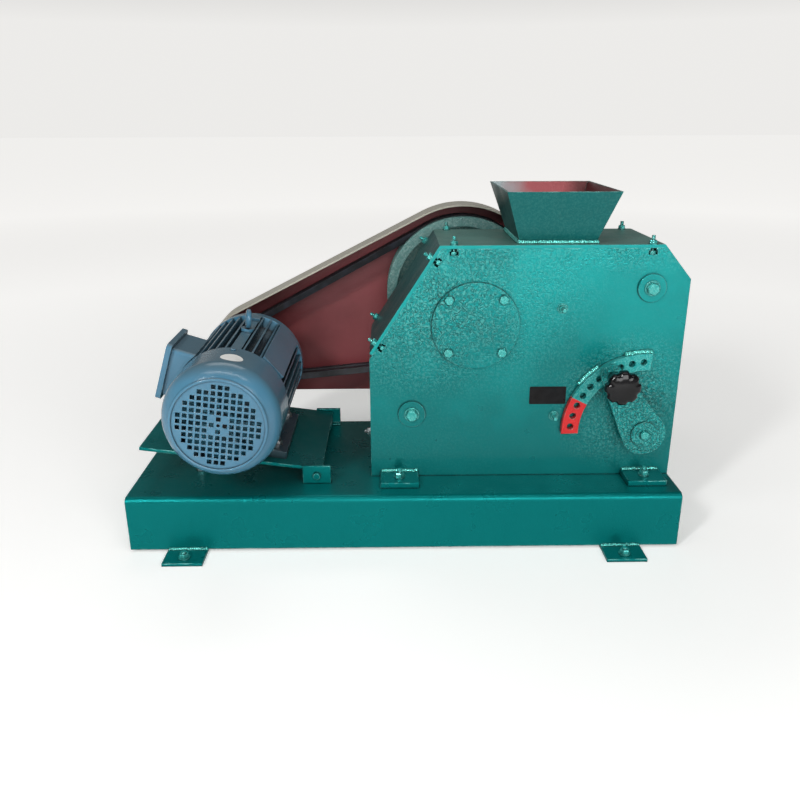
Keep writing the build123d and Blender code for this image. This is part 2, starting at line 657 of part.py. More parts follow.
def fixed_jaw():
    """Cast the fixed jaw's frame, hung from its bar and backed by the lever shaft."""
    top = jaw_back(FIXED_FACE, 1, JAW_TOP)
    foot = jaw_back(FIXED_FACE, 1, JAW_FOOT)
    back = LEVER[0] - LEVER_SHAFT_R - TOUCH_GAP
    points = [(top, JAW_TOP), (foot, JAW_FOOT), (back, JAW_FOOT),
              (back, LEVER[1] + FIXED_SEAT_RISE),
              (back - FIXED_BACK[0], LEVER[1] + FIXED_BACK[1]),
              (HANGER[0] - FIXED_NECK[0], HANGER[1] - FIXED_NECK[1]),
              (HANGER[0], HANGER[1] + HANGER_BOSS_R)]
    half = JAW_FRAME_WIDTH / 2
    frame = across(side_sketch(points), -half, half)
    frame += disc(HANGER[0], HANGER[1], HANGER_BOSS_R, -half, half)
    return frame - disc(HANGER[0], HANGER[1], BAR_R, -half - 1, half + 1)


def cheek_plates():
    """Line the chamber's sides with a wear plate on each side plate."""
    top = JAW_TOP
    left_top = jaw_back(MOVING_FACE, -1, JAW_TOP)
    right_top = jaw_back(FIXED_FACE, 1, JAW_TOP)
    left_foot = jaw_back(MOVING_FACE, -1, JAW_FOOT)
    right_foot = jaw_back(FIXED_FACE, 1, JAW_FOOT)
    outline = side_sketch([(left_top, top), (right_top, top), (right_foot, JAW_FOOT),
                           (left_foot, JAW_FOOT)])
    front = across(outline, -BODY_INSIDE, -BODY_INSIDE + CHEEK_THICK)
    rear = across(outline, BODY_INSIDE - CHEEK_THICK, BODY_INSIDE)
    return Compound(children=[front, rear])


def toggle_plate():
    """Set the toggle between its bar and the notch in the moving jaw."""
    start = TOGGLE_SEAT
    end = (TOGGLE_NOTCH[0] - TOUCH_GAP, TOGGLE_NOTCH[1])
    heading = atan2(end[1] - start[1], end[0] - start[0])
    run = hypot(end[0] - start[0], end[1] - start[1])
    low = BAR_R + TOUCH_GAP
    high = run + TOGGLE_THICK / 2 * sin(heading)
    plate = across(side_sketch([(low, -TOGGLE_THICK / 2), (high, -TOGGLE_THICK / 2),
                                (high, TOGGLE_THICK / 2), (low, TOGGLE_THICK / 2)]),
                   -TOGGLE_WIDTH / 2, TOGGLE_WIDTH / 2)
    return Pos(start[0], 0, start[1]) * Rot(0, -degrees(heading), 0) * plate


def cross_bar(place):
    """Pass a round bar through both side plates."""
    return disc(place[0], place[1], BAR_R, BODY_FRONT, BODY_REAR)


def bar_washers():
    """Close both ends of the two bars with large washers on the side plates."""
    washers = []
    for x, z in (HANGER, TOGGLE_SEAT):
        for low in (BODY_FRONT - BAR_WASHER_THICK, BODY_REAR):
            washers.append(disc(x, z, BAR_WASHER_R, low, low + BAR_WASHER_THICK))
    return Compound(children=washers)


def lever_point(radius, angle):
    """Give the X, Z of a point on the lever's quadrant."""
    return (LEVER[0] + radius * cos(radians(angle)), LEVER[1] + radius * sin(radians(angle)))


def quadrant():
    """Cut the curved plate of index holes from a ring."""
    outer = LEVER_HOLE_R + QUADRANT_BAND / 2
    inner = LEVER_HOLE_R - QUADRANT_BAND / 2
    last = LEVER_FIRST_ANGLE + (LEVER_HOLES - 1) * LEVER_STEP_ANGLE
    reach = 2 * outer
    wedge = [LEVER]
    for angle in (LEVER_FIRST_ANGLE - QUADRANT_END_ANGLE, (LEVER_FIRST_ANGLE + last) / 2,
                  last + QUADRANT_END_ANGLE):
        wedge.append(lever_point(reach, angle))
    ring = Plane.XZ * Pos(*LEVER) * (Circle(outer) - Circle(inner))
    plate = across(ring & side_sketch(wedge), BODY_FRONT - QUADRANT_THICK, BODY_FRONT)
    for hole in range(LEVER_HOLES):
        x, z = lever_point(LEVER_HOLE_R, LEVER_FIRST_ANGLE + hole * LEVER_STEP_ANGLE)
        plate -= disc(x, z, INDEX_HOLE_R, BODY_FRONT - 2 * QUADRANT_THICK, BODY_FRONT + 1)
    return plate


def lever_shaft():
    """Turn the shaft that the lever swings, with a neck for the arm."""
    shaft = disc(LEVER[0], LEVER[1], LEVER_SHAFT_R, ARM_BACK, BODY_REAR + BAR_WASHER_THICK)
    return shaft + disc(LEVER[0], LEVER[1], LEVER_NECK_R, ARM_FRONT, ARM_BACK)


def adjusting_arm():
    """Cut the tapering arm with its bore, and the guide bore of the index pin."""
    tip = lever_point(LEVER_HOLE_R, LEVER_AT_REST)
    arm = across(tangent_outline(LEVER, ARM_ROOT_R, tip, ARM_TIP_R), ARM_FRONT, ARM_BACK)
    arm -= disc(LEVER[0], LEVER[1], LEVER_NECK_R, ARM_FRONT - 1, ARM_BACK + 1)
    return arm - disc(tip[0], tip[1], PIN_R + RUNNING_GAP, ARM_FRONT - 1, ARM_BACK + 1)


def arm_washer():
    """Hold the arm on its shaft with a washer."""
    return disc(LEVER[0], LEVER[1], ARM_WASHER_R, ARM_FRONT - ARM_WASHER_THICK, ARM_FRONT)


def index_knob():
    """Mould the star knob on the index pin, here drawn back out of its hole."""
    x, z = lever_point(LEVER_HOLE_R, LEVER_AT_REST)
    hub_back = ARM_FRONT - TOUCH_GAP - PIN_TRAVEL
    head_back = hub_back - KNOB_HUB
    star = Plane.XZ * Pos(x, z) * Circle(KNOB_R)
    scoop = KNOB_R * sin(radians(180 / KNOB_LOBES)) * 0.55
    for lobe in range(KNOB_LOBES):
        angle = radians(360 / KNOB_LOBES * (lobe + 0.5))
        reach = KNOB_R + scoop * 0.35
        star -= Plane.XZ * Pos(x + reach * cos(angle), z + reach * sin(angle)) * Circle(scoop)
    head = across(star, head_back - KNOB_THICK, head_back)
    hub = disc(x, z, KNOB_HUB_R, head_back, hub_back)
    pin = disc(x, z, PIN_R, hub_back, ARM_BACK - TOUCH_GAP)
    return head + hub + pin


def motor_plate():
    """Cut the hinged plate and weld its two sleeves on the hinge rod."""
    plate = block((PLATE_LEFT, PLATE_RIGHT), (PLATE_FRONT, PLATE_REAR),
                  (PLATE_TOP - PLATE_THICK, PLATE_TOP))
    for low in (PLATE_FRONT + SLEEVE_INSET, PLATE_REAR - SLEEVE_INSET - SLEEVE_LENGTH):
        plate += disc(0, 0, SLEEVE_R, low, low + SLEEVE_LENGTH)
    plate -= block((-SLEEVE_R, SLEEVE_R), (PLATE_FRONT - 1, PLATE_REAR + 1),
                   (PLATE_TOP, PLATE_TOP + SLEEVE_R))
    plate -= disc(0, 0, HINGE_ROD_R, PLATE_FRONT - 1, PLATE_REAR + 1)
    for x in (-MOTOR_BOLT_X, MOTOR_BOLT_X):
        for y in MOTOR_BOLT_Y:
            plate -= Pos(MOTOR_X + x, y, PLATE_TOP) * Cylinder(MOTOR_BOLT_R, 4 * PLATE_THICK)
    return tilted(plate)


def hinge_brackets():
    """Fold two angle brackets that carry the hinge rod."""
    brackets = []
    for side, face in ((-1, PLATE_FRONT - TOUCH_GAP), (1, PLATE_REAR + TOUCH_GAP)):
        outer = face + side * BRACKET_THICK
        foot_end = face - side * BRACKET_FOOT / 2
        upright = block((HINGE_X - BRACKET_WIDTH / 2, HINGE_X + BRACKET_WIDTH / 2),
                        (min(face, outer), max(face, outer)),
                        (BASE_HEIGHT, BASE_HEIGHT + BRACKET_HEIGHT))
        foot = block((HINGE_X - BRACKET_WIDTH / 2, HINGE_X + BRACKET_WIDTH / 2),
                     (min(outer, foot_end), max(outer, foot_end)),
                     (BASE_HEIGHT, BASE_HEIGHT + BRACKET_THICK / 2))
        brackets.append(upright + foot - disc(HINGE_X, HINGE_Z, HINGE_ROD_R,
                                              min(face, outer) - 1, max(face, outer) + 1))
    return Compound(children=brackets)


def hinge_rod():
    """Pass the hinge rod through both brackets and the plate's sleeves."""
    end = TOUCH_GAP + 2 * BRACKET_THICK
    return disc(HINGE_X, HINGE_Z, HINGE_ROD_R, PLATE_FRONT - end, PLATE_REAR + end)


def jack_screws():
    """Stand two screws with lock nuts under the plate to set the belt tension."""
    x, under = tilted_point(JACK_X, PLATE_TOP - PLATE_THICK)
    top = under - TOUCH_GAP - JACK_R * sin(radians(PLATE_TILT))
    screws = []
    for y in JACK_Y:
        rod = Pos(x, y, (BASE_HEIGHT + top) / 2) * Cylinder(JACK_R, top - BASE_HEIGHT)
        nut = Pos(x, y, BASE_HEIGHT) * extrude(RegularPolygon(JACK_NUT / 2, 6, False),
                                               JACK_NUT_THICK)
        screws.append(rod + nut)
    return Compound(children=screws)


def motor_frame():
    """Cast the finned motor housing with its boss and nameplate pad."""
    frame = disc(MOTOR_X, MOTOR_Z, MOTOR_CORE_R, MOTOR_FRONT, MOTOR_REAR)
    frame += disc(MOTOR_X, MOTOR_Z, COWL_R - COWL_SHEET, MOTOR_FRONT, MOTOR_FRONT + MOTOR_END_THICK)
    for index in range(int(360 / MOTOR_FIN_ANGLE)):
        angle = index * MOTOR_FIN_ANGLE
        if FINLESS_ANGLES[0] < angle < FINLESS_ANGLES[1]:
            continue
        start = FIN_FRONT
        for middle, span, end in FIN_BREAKS:
            if abs(angle - middle) < span:
                start = end
        if start >= MOTOR_REAR:
            continue
        fin = Rot(0, 0, angle) * Pos((MOTOR_FIN_ROOT + MOTOR_FIN_R) / 2, 0) * Rectangle(
            MOTOR_FIN_R - MOTOR_FIN_ROOT, MOTOR_FIN_THICK)
        frame += across(Plane.XZ * Pos(MOTOR_X, MOTOR_Z) * fin, start, MOTOR_REAR)
    frame += block((MOTOR_X - BOSS_WIDTH / 2, MOTOR_X + BOSS_WIDTH / 2), (FIN_FRONT, MOTOR_REAR),
                   (MOTOR_Z + MOTOR_FIN_ROOT, MOTOR_Z + BOSS_TOP_R))
    frame += block((MOTOR_X - LUG_WIDTH / 2, MOTOR_X + LUG_WIDTH / 2),
                   (MOTOR_REAR - LUG_LENGTH, MOTOR_REAR),
                   (MOTOR_Z + MOTOR_FIN_ROOT, MOTOR_Z + LUG_TOP_R))
    pad = Rot(0, 0, PAD_ANGLE) * Pos((MOTOR_CORE_R + PAD_R - PAD_SINK) / 2, 0) * Rectangle(
        PAD_R - MOTOR_CORE_R + PAD_SINK, PAD_WIDTH)
    frame += across(Plane.XZ * Pos(MOTOR_X, MOTOR_Z) * pad, FIN_FRONT, MOTOR_REAR)
    frame -= disc(MOTOR_X, MOTOR_Z, ROTOR_R + RUNNING_GAP, MOTOR_FRONT - 1, MOTOR_REAR + 1)
    return tilted(frame)


def motor_feet():
    """Cast the two drilled feet that carry the motor housing."""
    core = disc(MOTOR_X, MOTOR_Z, MOTOR_CORE_R, MOTOR_FOOT_Y[0] - 1, MOTOR_FOOT_Y[1] + 1)
    feet = []
    for side in (-1, 1):
        points = [(FOOT_INNER, -MOTOR_HEIGHT), (FOOT_HALF, -MOTOR_HEIGHT),
                  (FOOT_HALF, MOTOR_FOOT_THICK - MOTOR_HEIGHT),
                  (FOOT_INNER + FOOT_ROOT[0], FOOT_ROOT[1] - MOTOR_HEIGHT),
                  FOOT_WEB_OUT, FOOT_WEB_IN]
        web = side_sketch([(MOTOR_X + side * x, MOTOR_Z + z) for x, z in points])
        foot = across(web, *MOTOR_FOOT_Y) - core
        for y in MOTOR_BOLT_Y:
            foot -= Pos(MOTOR_X + side * MOTOR_BOLT_X, y, PLATE_TOP) * Cylinder(
                MOTOR_BOLT_R, 3 * MOTOR_FOOT_THICK)
        feet.append(tilted(foot))
    return Compound(children=feet)


def motor_end_shield():
    """Turn the drive-end shield with the boss that the shaft leaves."""
    shield = disc(MOTOR_X, MOTOR_Z, SHIELD_R, MOTOR_REAR, MOTOR_REAR + SHIELD_THICK)
    shield = chamfer(shield.edges().group_by(Axis.Y)[-1], SHIELD_CHAMFER)
    shield += disc(MOTOR_X, MOTOR_Z, SHIELD_BOSS_R, MOTOR_REAR + SHIELD_THICK,
                   MOTOR_REAR + SHIELD_THICK + SHIELD_BOSS)
    return tilted(shield - disc(MOTOR_X, MOTOR_Z, ROTOR_R + RUNNING_GAP, MOTOR_REAR - 1,
                                MOTOR_REAR + SHIELD_THICK + SHIELD_BOSS + 1))


def motor_cowl():
    """Press the fan cowl with its domed shoulder, and roll the rim round its open face."""
    outer = disc(0, 0, COWL_R, COWL_FRONT, COWL_REAR)
    outer = fillet(outer.edges().group_by(Axis.Y)[0], COWL_ROUND)
    inner = disc(0, 0, COWL_R - COWL_SHEET, COWL_FRONT + COWL_SHEET, COWL_REAR)
    inner = fillet(inner.edges().group_by(Axis.Y)[0], COWL_ROUND - COWL_SHEET)
    rim = Pos(0, COWL_FRONT + RIM_SET, 0) * Rot(90, 0, 0) * Torus(RIM_R, RIM_WIRE_R)
    face = disc(0, 0, GRILLE_R, COWL_FRONT - RIM_WIRE_R, COWL_FRONT + COWL_ROUND)
    return tilted(Pos(MOTOR_X, 0, MOTOR_Z) * (outer - inner + rim - face))


def cowl_grille():
    """Punch a round field of square holes through the disc set in the cowl's rim."""
    front = COWL_FRONT + GRILLE_SET
    reach = int(GRILLE_REACH)
    holes = Sketch() + Circle(GRILLE_CENTRE_R)
    for column in range(-reach, reach + 1):
        for row in range(-reach, reach + 1):
            if hypot(column, row) > GRILLE_REACH or abs(column * row) == 1 or column == row == 0:
                continue
            holes += Pos(column * GRILLE_PITCH, row * GRILLE_PITCH) * Rectangle(
                GRILLE_HOLE, GRILLE_HOLE)
    sheet = Plane.XZ * Circle(GRILLE_R)
    grille = across(sheet - Plane.XZ * holes, front, front + GRILLE_THICK)
    return tilted(Pos(MOTOR_X, 0, MOTOR_Z) * grille)


def motor_fan():
    """Mould the fan: a hub, a back disc and straight blades."""
    back = FAN_FRONT + FAN_WIDTH
    fan = disc(0, 0, FAN_HUB_R, FAN_FRONT, back) + disc(0, 0, FAN_R, back - FAN_BACK, back)
    for blade in range(FAN_BLADES):
        vane = Rot(0, 0, 360 / FAN_BLADES * blade) * Pos((FAN_HUB_R + FAN_R) / 2, 0) * Rectangle(
            FAN_R - FAN_HUB_R + 2, FAN_BLADE_THICK)
        fan += across(Plane.XZ * vane, FAN_FRONT, back)
    fan -= disc(0, 0, ROTOR_R, FAN_FRONT - 1, back + 1)
    return tilted(Pos(MOTOR_X, 0, MOTOR_Z) * fan)


def motor_shaft():
    """Turn the rotor shaft from the fan to the pulley."""
    return tilted(disc(MOTOR_X, MOTOR_Z, ROTOR_R, FAN_FRONT - FAN_SHAFT_END, PULLEY_REAR))


def motor_pulley():
    """Turn the small grooved pulley on the motor shaft."""
    front = BELT_Y[0] - BELT_TOP / 2 - GROOVE_EDGE
    profile = [(ROTOR_R, front), (MOTOR_PULLEY_R, front)]
    profile += grooves(MOTOR_PULLEY_R, BELT_Y)
    profile += [(MOTOR_PULLEY_R, PULLEY_REAR), (ROTOR_R, PULLEY_REAR)]
    return spun(profile, *MOTOR_AXIS)


def terminal_box():
    """Cast the terminal box with a neck on the motor housing."""
    box = block((BOX_IN, BOX_OUT), BOX_Y, (-BOX_HIGH, -BOX_LOW))
    box = fillet(box.edges().filter_by(Axis.X), BOX_ROUND)
    box -= disc(0, 0, MOTOR_FIN_R + TOUCH_GAP, BOX_Y[0] - 1, BOX_Y[1] + 1)
    neck = block((MOTOR_CORE_R - NECK_ROOT, MOTOR_FIN_R + NECK_REACH),
                 (BOX_Y[0] + NECK_INSET, BOX_Y[1] - NECK_INSET), NECK_SIDES)
    neck -= disc(0, 0, MOTOR_CORE_R, BOX_Y[0], BOX_Y[1])
    return tilted(Pos(MOTOR_X, 0, MOTOR_Z) * Rot(0, -BOX_ANGLE, 0) * (box + neck))


def terminal_box_lid():
    """Cast the lid that overhangs the terminal box."""
    lid = block((BOX_OUT, BOX_OUT + BOX_LID_THICK), (BOX_Y[0] - LID_LIP, BOX_Y[1] + LID_LIP),
                (-BOX_HIGH - LID_LIP, -BOX_LOW + LID_LIP))
    lid = fillet(lid.edges().filter_by(Axis.X), LID_ROUND)
    return tilted(Pos(MOTOR_X, 0, MOTOR_Z) * Rot(0, -BOX_ANGLE, 0) * lid)


def lifting_eye():
    """Forge the lifting eye: a collar on the housing's boss and a ring."""
    centre = BOSS_TOP_R + EYE_COLLAR + EYE_RING_R + EYE_WIRE_R - EYE_SINK
    collar = Pos(0, 0, BOSS_TOP_R + EYE_COLLAR / 2) * Cylinder(EYE_COLLAR_R, EYE_COLLAR)
    ring = Pos(0, 0, centre) * Rot(0, 90, 0) * Torus(EYE_RING_R, EYE_WIRE_R)
    eye = Rot(0, 0, EYE_ANGLE) * (collar + ring)
    return tilted(Pos(MOTOR_X, EYE_Y, MOTOR_Z) * eye)


def belt(y):
    """Sweep one V-belt round both pulleys."""
    outer_big = PULLEY_R + BELT_PROUD
    outer_small = MOTOR_PULLEY_R + BELT_PROUD
    run = hypot(SHAFT_X - MOTOR_AXIS[0], SHAFT_Z - MOTOR_AXIS[1])
    heading = atan2(MOTOR_AXIS[1] - SHAFT_Z, MOTOR_AXIS[0] - SHAFT_X)
    lean = asin((outer_big - outer_small) / run)

    def ring_point(centre, radius, angle):
        return (centre[0] + radius * cos(angle), y, centre[1] + radius * sin(angle))
    shaft = (SHAFT_X, SHAFT_Z)
    first = heading + radians(90) - lean
    last = heading - radians(90) + lean
    big_far = heading + radians(180)
    path = Wire([
        Line(ring_point(shaft, outer_big, last), ring_point(MOTOR_AXIS, outer_small, last)),
        ThreePointArc(ring_point(MOTOR_AXIS, outer_small, last),
                      ring_point(MOTOR_AXIS, outer_small, heading),
                      ring_point(MOTOR_AXIS, outer_small, first)),
        Line(ring_point(MOTOR_AXIS, outer_small, first), ring_point(shaft, outer_big, first)),
        ThreePointArc(ring_point(shaft, outer_big, first),
                      ring_point(shaft, outer_big, big_far),
                      ring_point(shaft, outer_big, last))])
    inward = Vector(-cos(last), 0, -sin(last))
    plane = Plane(origin=path @ 0, x_dir=inward, z_dir=path % 0)
    half = BELT_TOP / 2
    section = make_face(Polyline((0, -half), (0, half), (BELT_DEEP, half - BELT_TAPER),
                                 (BELT_DEEP, -half + BELT_TAPER), close=True))
    return sweep(plane * section, path=path)


def guard_outline(inset):
    """Give the guard's outline, moved inward."""
    big = PULLEY_R + GUARD_PULLEY_GAP - inset
    small = MOTOR_PULLEY_R + GUARD_MOTOR_GAP - inset
    skirt = side_sketch([(MOTOR_AXIS[0] - small, MOTOR_AXIS[1]), (MOTOR_AXIS[0] - small, GUARD_FOOT),
                         (SHAFT_X + big, GUARD_FOOT), (SHAFT_X + big, SHAFT_Z)])
    return tangent_outline((SHAFT_X, SHAFT_Z), big, MOTOR_AXIS, small) + skirt


def belt_guard():
    """Fold the guard: a back sheet with a flange over the top and down both ends."""
    reach = 2 * (PULLEY_R + GUARD_PULLEY_GAP)
    above_foot = side_sketch([(MOTOR_AXIS[0] - reach, GUARD_FOOT), (SHAFT_X + reach, GUARD_FOOT),
                              (SHAFT_X + reach, SHAFT_Z + reach), (MOTOR_AXIS[0] - reach, SHAFT_Z + reach)])
    outer = guard_outline(0) & above_foot
    back = across(outer, GUARD_REAR - GUARD_SHEET, GUARD_REAR)
    flange = across(outer - guard_outline(GUARD_SHEET), GUARD_FRONT, GUARD_REAR - GUARD_SHEET)
    return back + flange


def guard_brackets():
    """Bend two flat bars that carry the guard from the base's rear skirt."""
    rear = BASE_WIDTH / 2
    step = BASE_HEIGHT - 2 * BASE_SHEET
    bars = []
    for x in GUARD_BAR_X:
        wide = (x - GUARD_BAR_WIDTH / 2, x + GUARD_BAR_WIDTH / 2)
        bar = block(wide, (rear, rear + GUARD_BAR_THICK), (GUARD_BAR_LOW, step))
        bar += block(wide, (rear, GUARD_REAR + GUARD_BAR_THICK), (step - GUARD_BAR_THICK, step))
        bar += block(wide, (GUARD_REAR, GUARD_REAR + GUARD_BAR_THICK),
                     (step - GUARD_BAR_THICK, GUARD_FOOT + GUARD_BAR_LAP))
        bars.append(bar)
    return Compound(children=bars)


def nodes():
    """List every node's name with its shape."""
    return {
        "base_frame": base_frame(),
        "base_ends": base_ends(),
        "mounting_feet": mounting_feet(),
        "side_plate_front": side_plate(BODY_FRONT, -BODY_INSIDE),
        "side_plate_rear": side_plate(BODY_INSIDE, BODY_REAR),
        "cover_plate": cover_plate(),
        "left_end_wall": left_end_wall(),
        "right_end_wall": right_end_wall(),
        "hopper": hopper(),
        "hold_down_tabs": hold_down_tabs(),
        "bearings": bearings(),
        "bearing_cover_front": bearing_cover_front(),
        "bearing_cover_rear": bearing_cover_rear(),
        "eccentric_shaft": eccentric_shaft(),
        "crusher_pulley": crusher_pulley(),
        "moving_jaw": moving_jaw(),
        "moving_jaw_plate": jaw_plate(MOVING_FACE, -1),
        "fixed_jaw": fixed_jaw(),
        "fixed_jaw_plate": jaw_plate(FIXED_FACE, 1),
        "cheek_plates": cheek_plates(),
        "toggle_plate": toggle_plate(),
        "toggle_bar": cross_bar(TOGGLE_SEAT),
        "hanger_bar": cross_bar(HANGER),
        "bar_washers": bar_washers(),
        "quadrant": quadrant(),
        "lever_shaft": lever_shaft(),
        "adjusting_arm": adjusting_arm(),
        "arm_washer": arm_washer(),
        "index_knob": index_knob(),
        "motor_plate": motor_plate(),
        "hinge_brackets": hinge_brackets(),
        "hinge_rod": hinge_rod(),
        "jack_screws": jack_screws(),
        "motor_frame": motor_frame(),
        "motor_feet": motor_feet(),
        "motor_end_shield": motor_end_shield(),
        "motor_cowl": motor_cowl(),
        "cowl_grille": cowl_grille(),
        "motor_fan": motor_fan(),
        "motor_shaft": motor_shaft(),
        "motor_pulley": motor_pulley(),
        "terminal_box": terminal_box(),
        "terminal_box_lid": terminal_box_lid(),
        "lifting_eye": lifting_eye(),
        "belt_front": belt(BELT_Y[0]),
        "belt_rear": belt(BELT_Y[1]),
        "belt_guard": belt_guard(),
        "guard_brackets": guard_brackets(),
    }


os.makedirs("parts", exist_ok=True)
for name, shape in nodes().items():
    export_step(shape, "parts/" + name + ".step")
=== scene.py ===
# %% [markdown]
# A laboratory jaw crusher: a motor on a hinged plate drives a big pulley through two
# V-belts, and an eccentric shaft behind the round cover swings one jaw against the other.
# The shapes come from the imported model, which is loaded as a fixed frame. This script
# gives them their finish, and adds what is too small for the frame: bolts, studs, weld
# beads, labels and screws. Every length is in metres, in the frame's own axes.

# %% Load the frame
from math import cos, pi, radians, sin, sqrt

import bmesh
import bpy
from mathutils import Matrix, Vector


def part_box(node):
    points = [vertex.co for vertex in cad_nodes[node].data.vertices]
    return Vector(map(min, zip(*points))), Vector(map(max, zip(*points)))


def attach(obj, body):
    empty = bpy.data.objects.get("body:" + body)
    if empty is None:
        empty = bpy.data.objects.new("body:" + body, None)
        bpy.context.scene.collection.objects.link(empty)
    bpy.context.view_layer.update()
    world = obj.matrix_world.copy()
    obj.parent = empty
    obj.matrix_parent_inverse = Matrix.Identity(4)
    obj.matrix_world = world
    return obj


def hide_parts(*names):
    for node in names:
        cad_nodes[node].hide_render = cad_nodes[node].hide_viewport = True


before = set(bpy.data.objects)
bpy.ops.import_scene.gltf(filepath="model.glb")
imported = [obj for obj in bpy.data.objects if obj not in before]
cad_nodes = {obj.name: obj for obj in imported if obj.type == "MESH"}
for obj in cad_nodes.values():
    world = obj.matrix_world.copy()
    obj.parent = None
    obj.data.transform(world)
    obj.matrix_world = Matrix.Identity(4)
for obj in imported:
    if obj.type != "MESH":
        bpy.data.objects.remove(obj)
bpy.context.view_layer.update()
print("nodes in the frame:", len(cad_nodes))

# %% [markdown]
# The camera stands where the photographer stood: in front of the control side, a little
# above the hopper, and looking down by about 20 degrees. Yaw, pitch and roll are turned
# one after another, which is easier to read than a finished rotation.

# %% Camera
CAMERA_PLACE = Vector((-0.0193, -1.2224, 0.6322))
CAMERA_YAW = radians(0.69)
CAMERA_PITCH = radians(19.89)
CAMERA_ROLL = radians(-0.21)
SENSOR_WIDTH_MM = 36.0
PICTURE_WIDTH = 800.0
FOCAL_PIXELS = 777.3

camera_data = bpy.data.cameras.new("camera")
camera_data.sensor_width = SENSOR_WIDTH_MM
camera_data.lens = FOCAL_PIXELS / PICTURE_WIDTH * SENSOR_WIDTH_MM
camera = bpy.data.objects.new("camera", camera_data)
camera.matrix_world = (Matrix.Translation(CAMERA_PLACE) @ Matrix.Rotation(-CAMERA_YAW, 4, "Z")
                       @ Matrix.Rotation(pi / 2 - CAMERA_PITCH, 4, "X")
                       @ Matrix.Rotation(CAMERA_ROLL, 4, "Z"))
bpy.context.scene.collection.objects.link(camera)
bpy.context.scene.camera = camera
print("lens in mm:", round(camera_data.lens, 2))

# %% [markdown]
# Shader and geometry trees are built from many small steps, so a few helpers come first.
# One adds a node with its settings and links in a single line, the others do arithmetic
# and read a point's place or the direction that a face looks in.


# %% Helpers for node trees
def add_node(tree, kind, values=None, **settings):
    """Add a node, set its properties, and fill or link its input sockets."""
    made = tree.nodes.new(kind)
    for name, value in settings.items():
        setattr(made, name, value)
    for socket, value in (values or {}).items():
        if isinstance(value, bpy.types.NodeSocket):
            tree.links.new(value, made.inputs[socket])
        else:
            made.inputs[socket].default_value = value
    return made


def calculate(tree, operation, *values, clamp=False):
    """Add one arithmetic node and return its result."""
    return add_node(
        tree, "ShaderNodeMath", dict(enumerate(values)), operation=operation, use_clamp=clamp).outputs[0]


def times(tree, first, second, clamp=False):
    """Multiply two values."""
    return calculate(tree, "MULTIPLY", first, second, clamp=clamp)


def vector_step(tree, operation, first, second):
    """Add one vector calculation and return its outputs, Vector and Value."""
    return add_node(tree, "ShaderNodeVectorMath", {0: first, 1: second}, operation=operation).outputs


def ramp_between(tree, value, low, high, start=0.0, end=1.0):
    """Map a value from one range to another and stop at both ends."""
    return add_node(tree, "ShaderNodeMapRange",
                    {"Value": value, "From Min": low, "From Max": high,
                     "To Min": start, "To Max": end}).outputs[0]


def place_on(tree):
    """Give a point's place in the part's axes."""
    return add_node(tree, "ShaderNodeTexCoord").outputs["Object"]


def parts_of(tree, vector):
    """Split a vector into X, Y and Z."""
    return add_node(tree, "ShaderNodeSeparateXYZ", {0: vector}).outputs


def facing_parts(tree):
    """Give X, Y and Z of the direction that a face looks in."""
    return parts_of(tree, add_node(tree, "ShaderNodeTexCoord").outputs["Normal"])


def noise_over(tree, scale, detail, **more):
    """Lay a noise over a piece and give its value."""
    values = {"Vector": place_on(tree), "Scale": scale, "Detail": detail, **more}
    return add_node(tree, "ShaderNodeTexNoise", values).outputs["Fac"]


# %% [markdown]
# Colours are written as a screen shows them, from 0 to 255, because that is how a maker
# compares them with a photograph. Shaders reckon in linear light, so each colour is
# turned when it is mixed.


# %% Helpers for colours
def screen_colour(red, green, blue):
    """Turn a colour as a screen shows it into the linear one that shaders use."""
    linear = []
    for part in (red, green, blue):
        share = part / 255
        linear.append(share / 12.92 if share <= 0.04045 else ((share + 0.055) / 1.055) ** 2.4)
    return (*linear, 1.0)


def mix_colours(tree, factor, first, second):
    """Mix two colours, each a socket or a screen colour."""
    first, second = (screen_colour(*c) if isinstance(c, tuple) else c for c in (first, second))
    return add_node(tree, "ShaderNodeMix", {0: factor, 6: first, 7: second}, data_type="RGBA").outputs[2]


def multiplied(tree, colour, share):
    """Darken a colour to a share of itself."""
    return add_node(tree, "ShaderNodeMix", {0: 1.0, 6: colour, 7: (share, share, share, 1.0)},
                    data_type="RGBA", blend_type="MULTIPLY").outputs[2]


# %% [markdown]
# An effect that several finishes share is a shader group: a tree of its own with named
# inputs and outputs, built once and placed in each material with its own values.

# %% Helpers for groups
FLOAT = "NodeSocketFloat"
VECTOR = "NodeSocketVector"


def new_group(name, inputs, outputs):
    """Start a group, and give its tree and the sockets at both of its ends."""
    tree = bpy.data.node_groups.new(name, "ShaderNodeTree")
    for label, value in inputs.items():
        socket = tree.interface.new_socket(name=label, in_out="INPUT", socket_type=FLOAT)
        socket.default_value = value
    for label, kind in outputs.items():
        tree.interface.new_socket(name=label, in_out="OUTPUT", socket_type=kind)
    return tree, tree.nodes.new("NodeGroupInput").outputs, tree.nodes.new("NodeGroupOutput").inputs


def end_group(tree, result, **values):
    """Link what a group worked out to its outputs."""
    for label, value in values.items():
        tree.links.new(value, result[label])
    print("group:", tree.name)
    return tree


def use_group(tree, group, **values):
    """Place a group, set its inputs and give its outputs."""
    return add_node(tree, "ShaderNodeGroup", values, node_tree=group).outputs


# %% [markdown]
# Hammered enamel draws itself into pale cells a few millimetres wide, with short dark
# grooves wandering between them. The grooves run where a noise passes its middle value,
# and a second noise breaks them up. The same group serves the body, the base and every bolt.

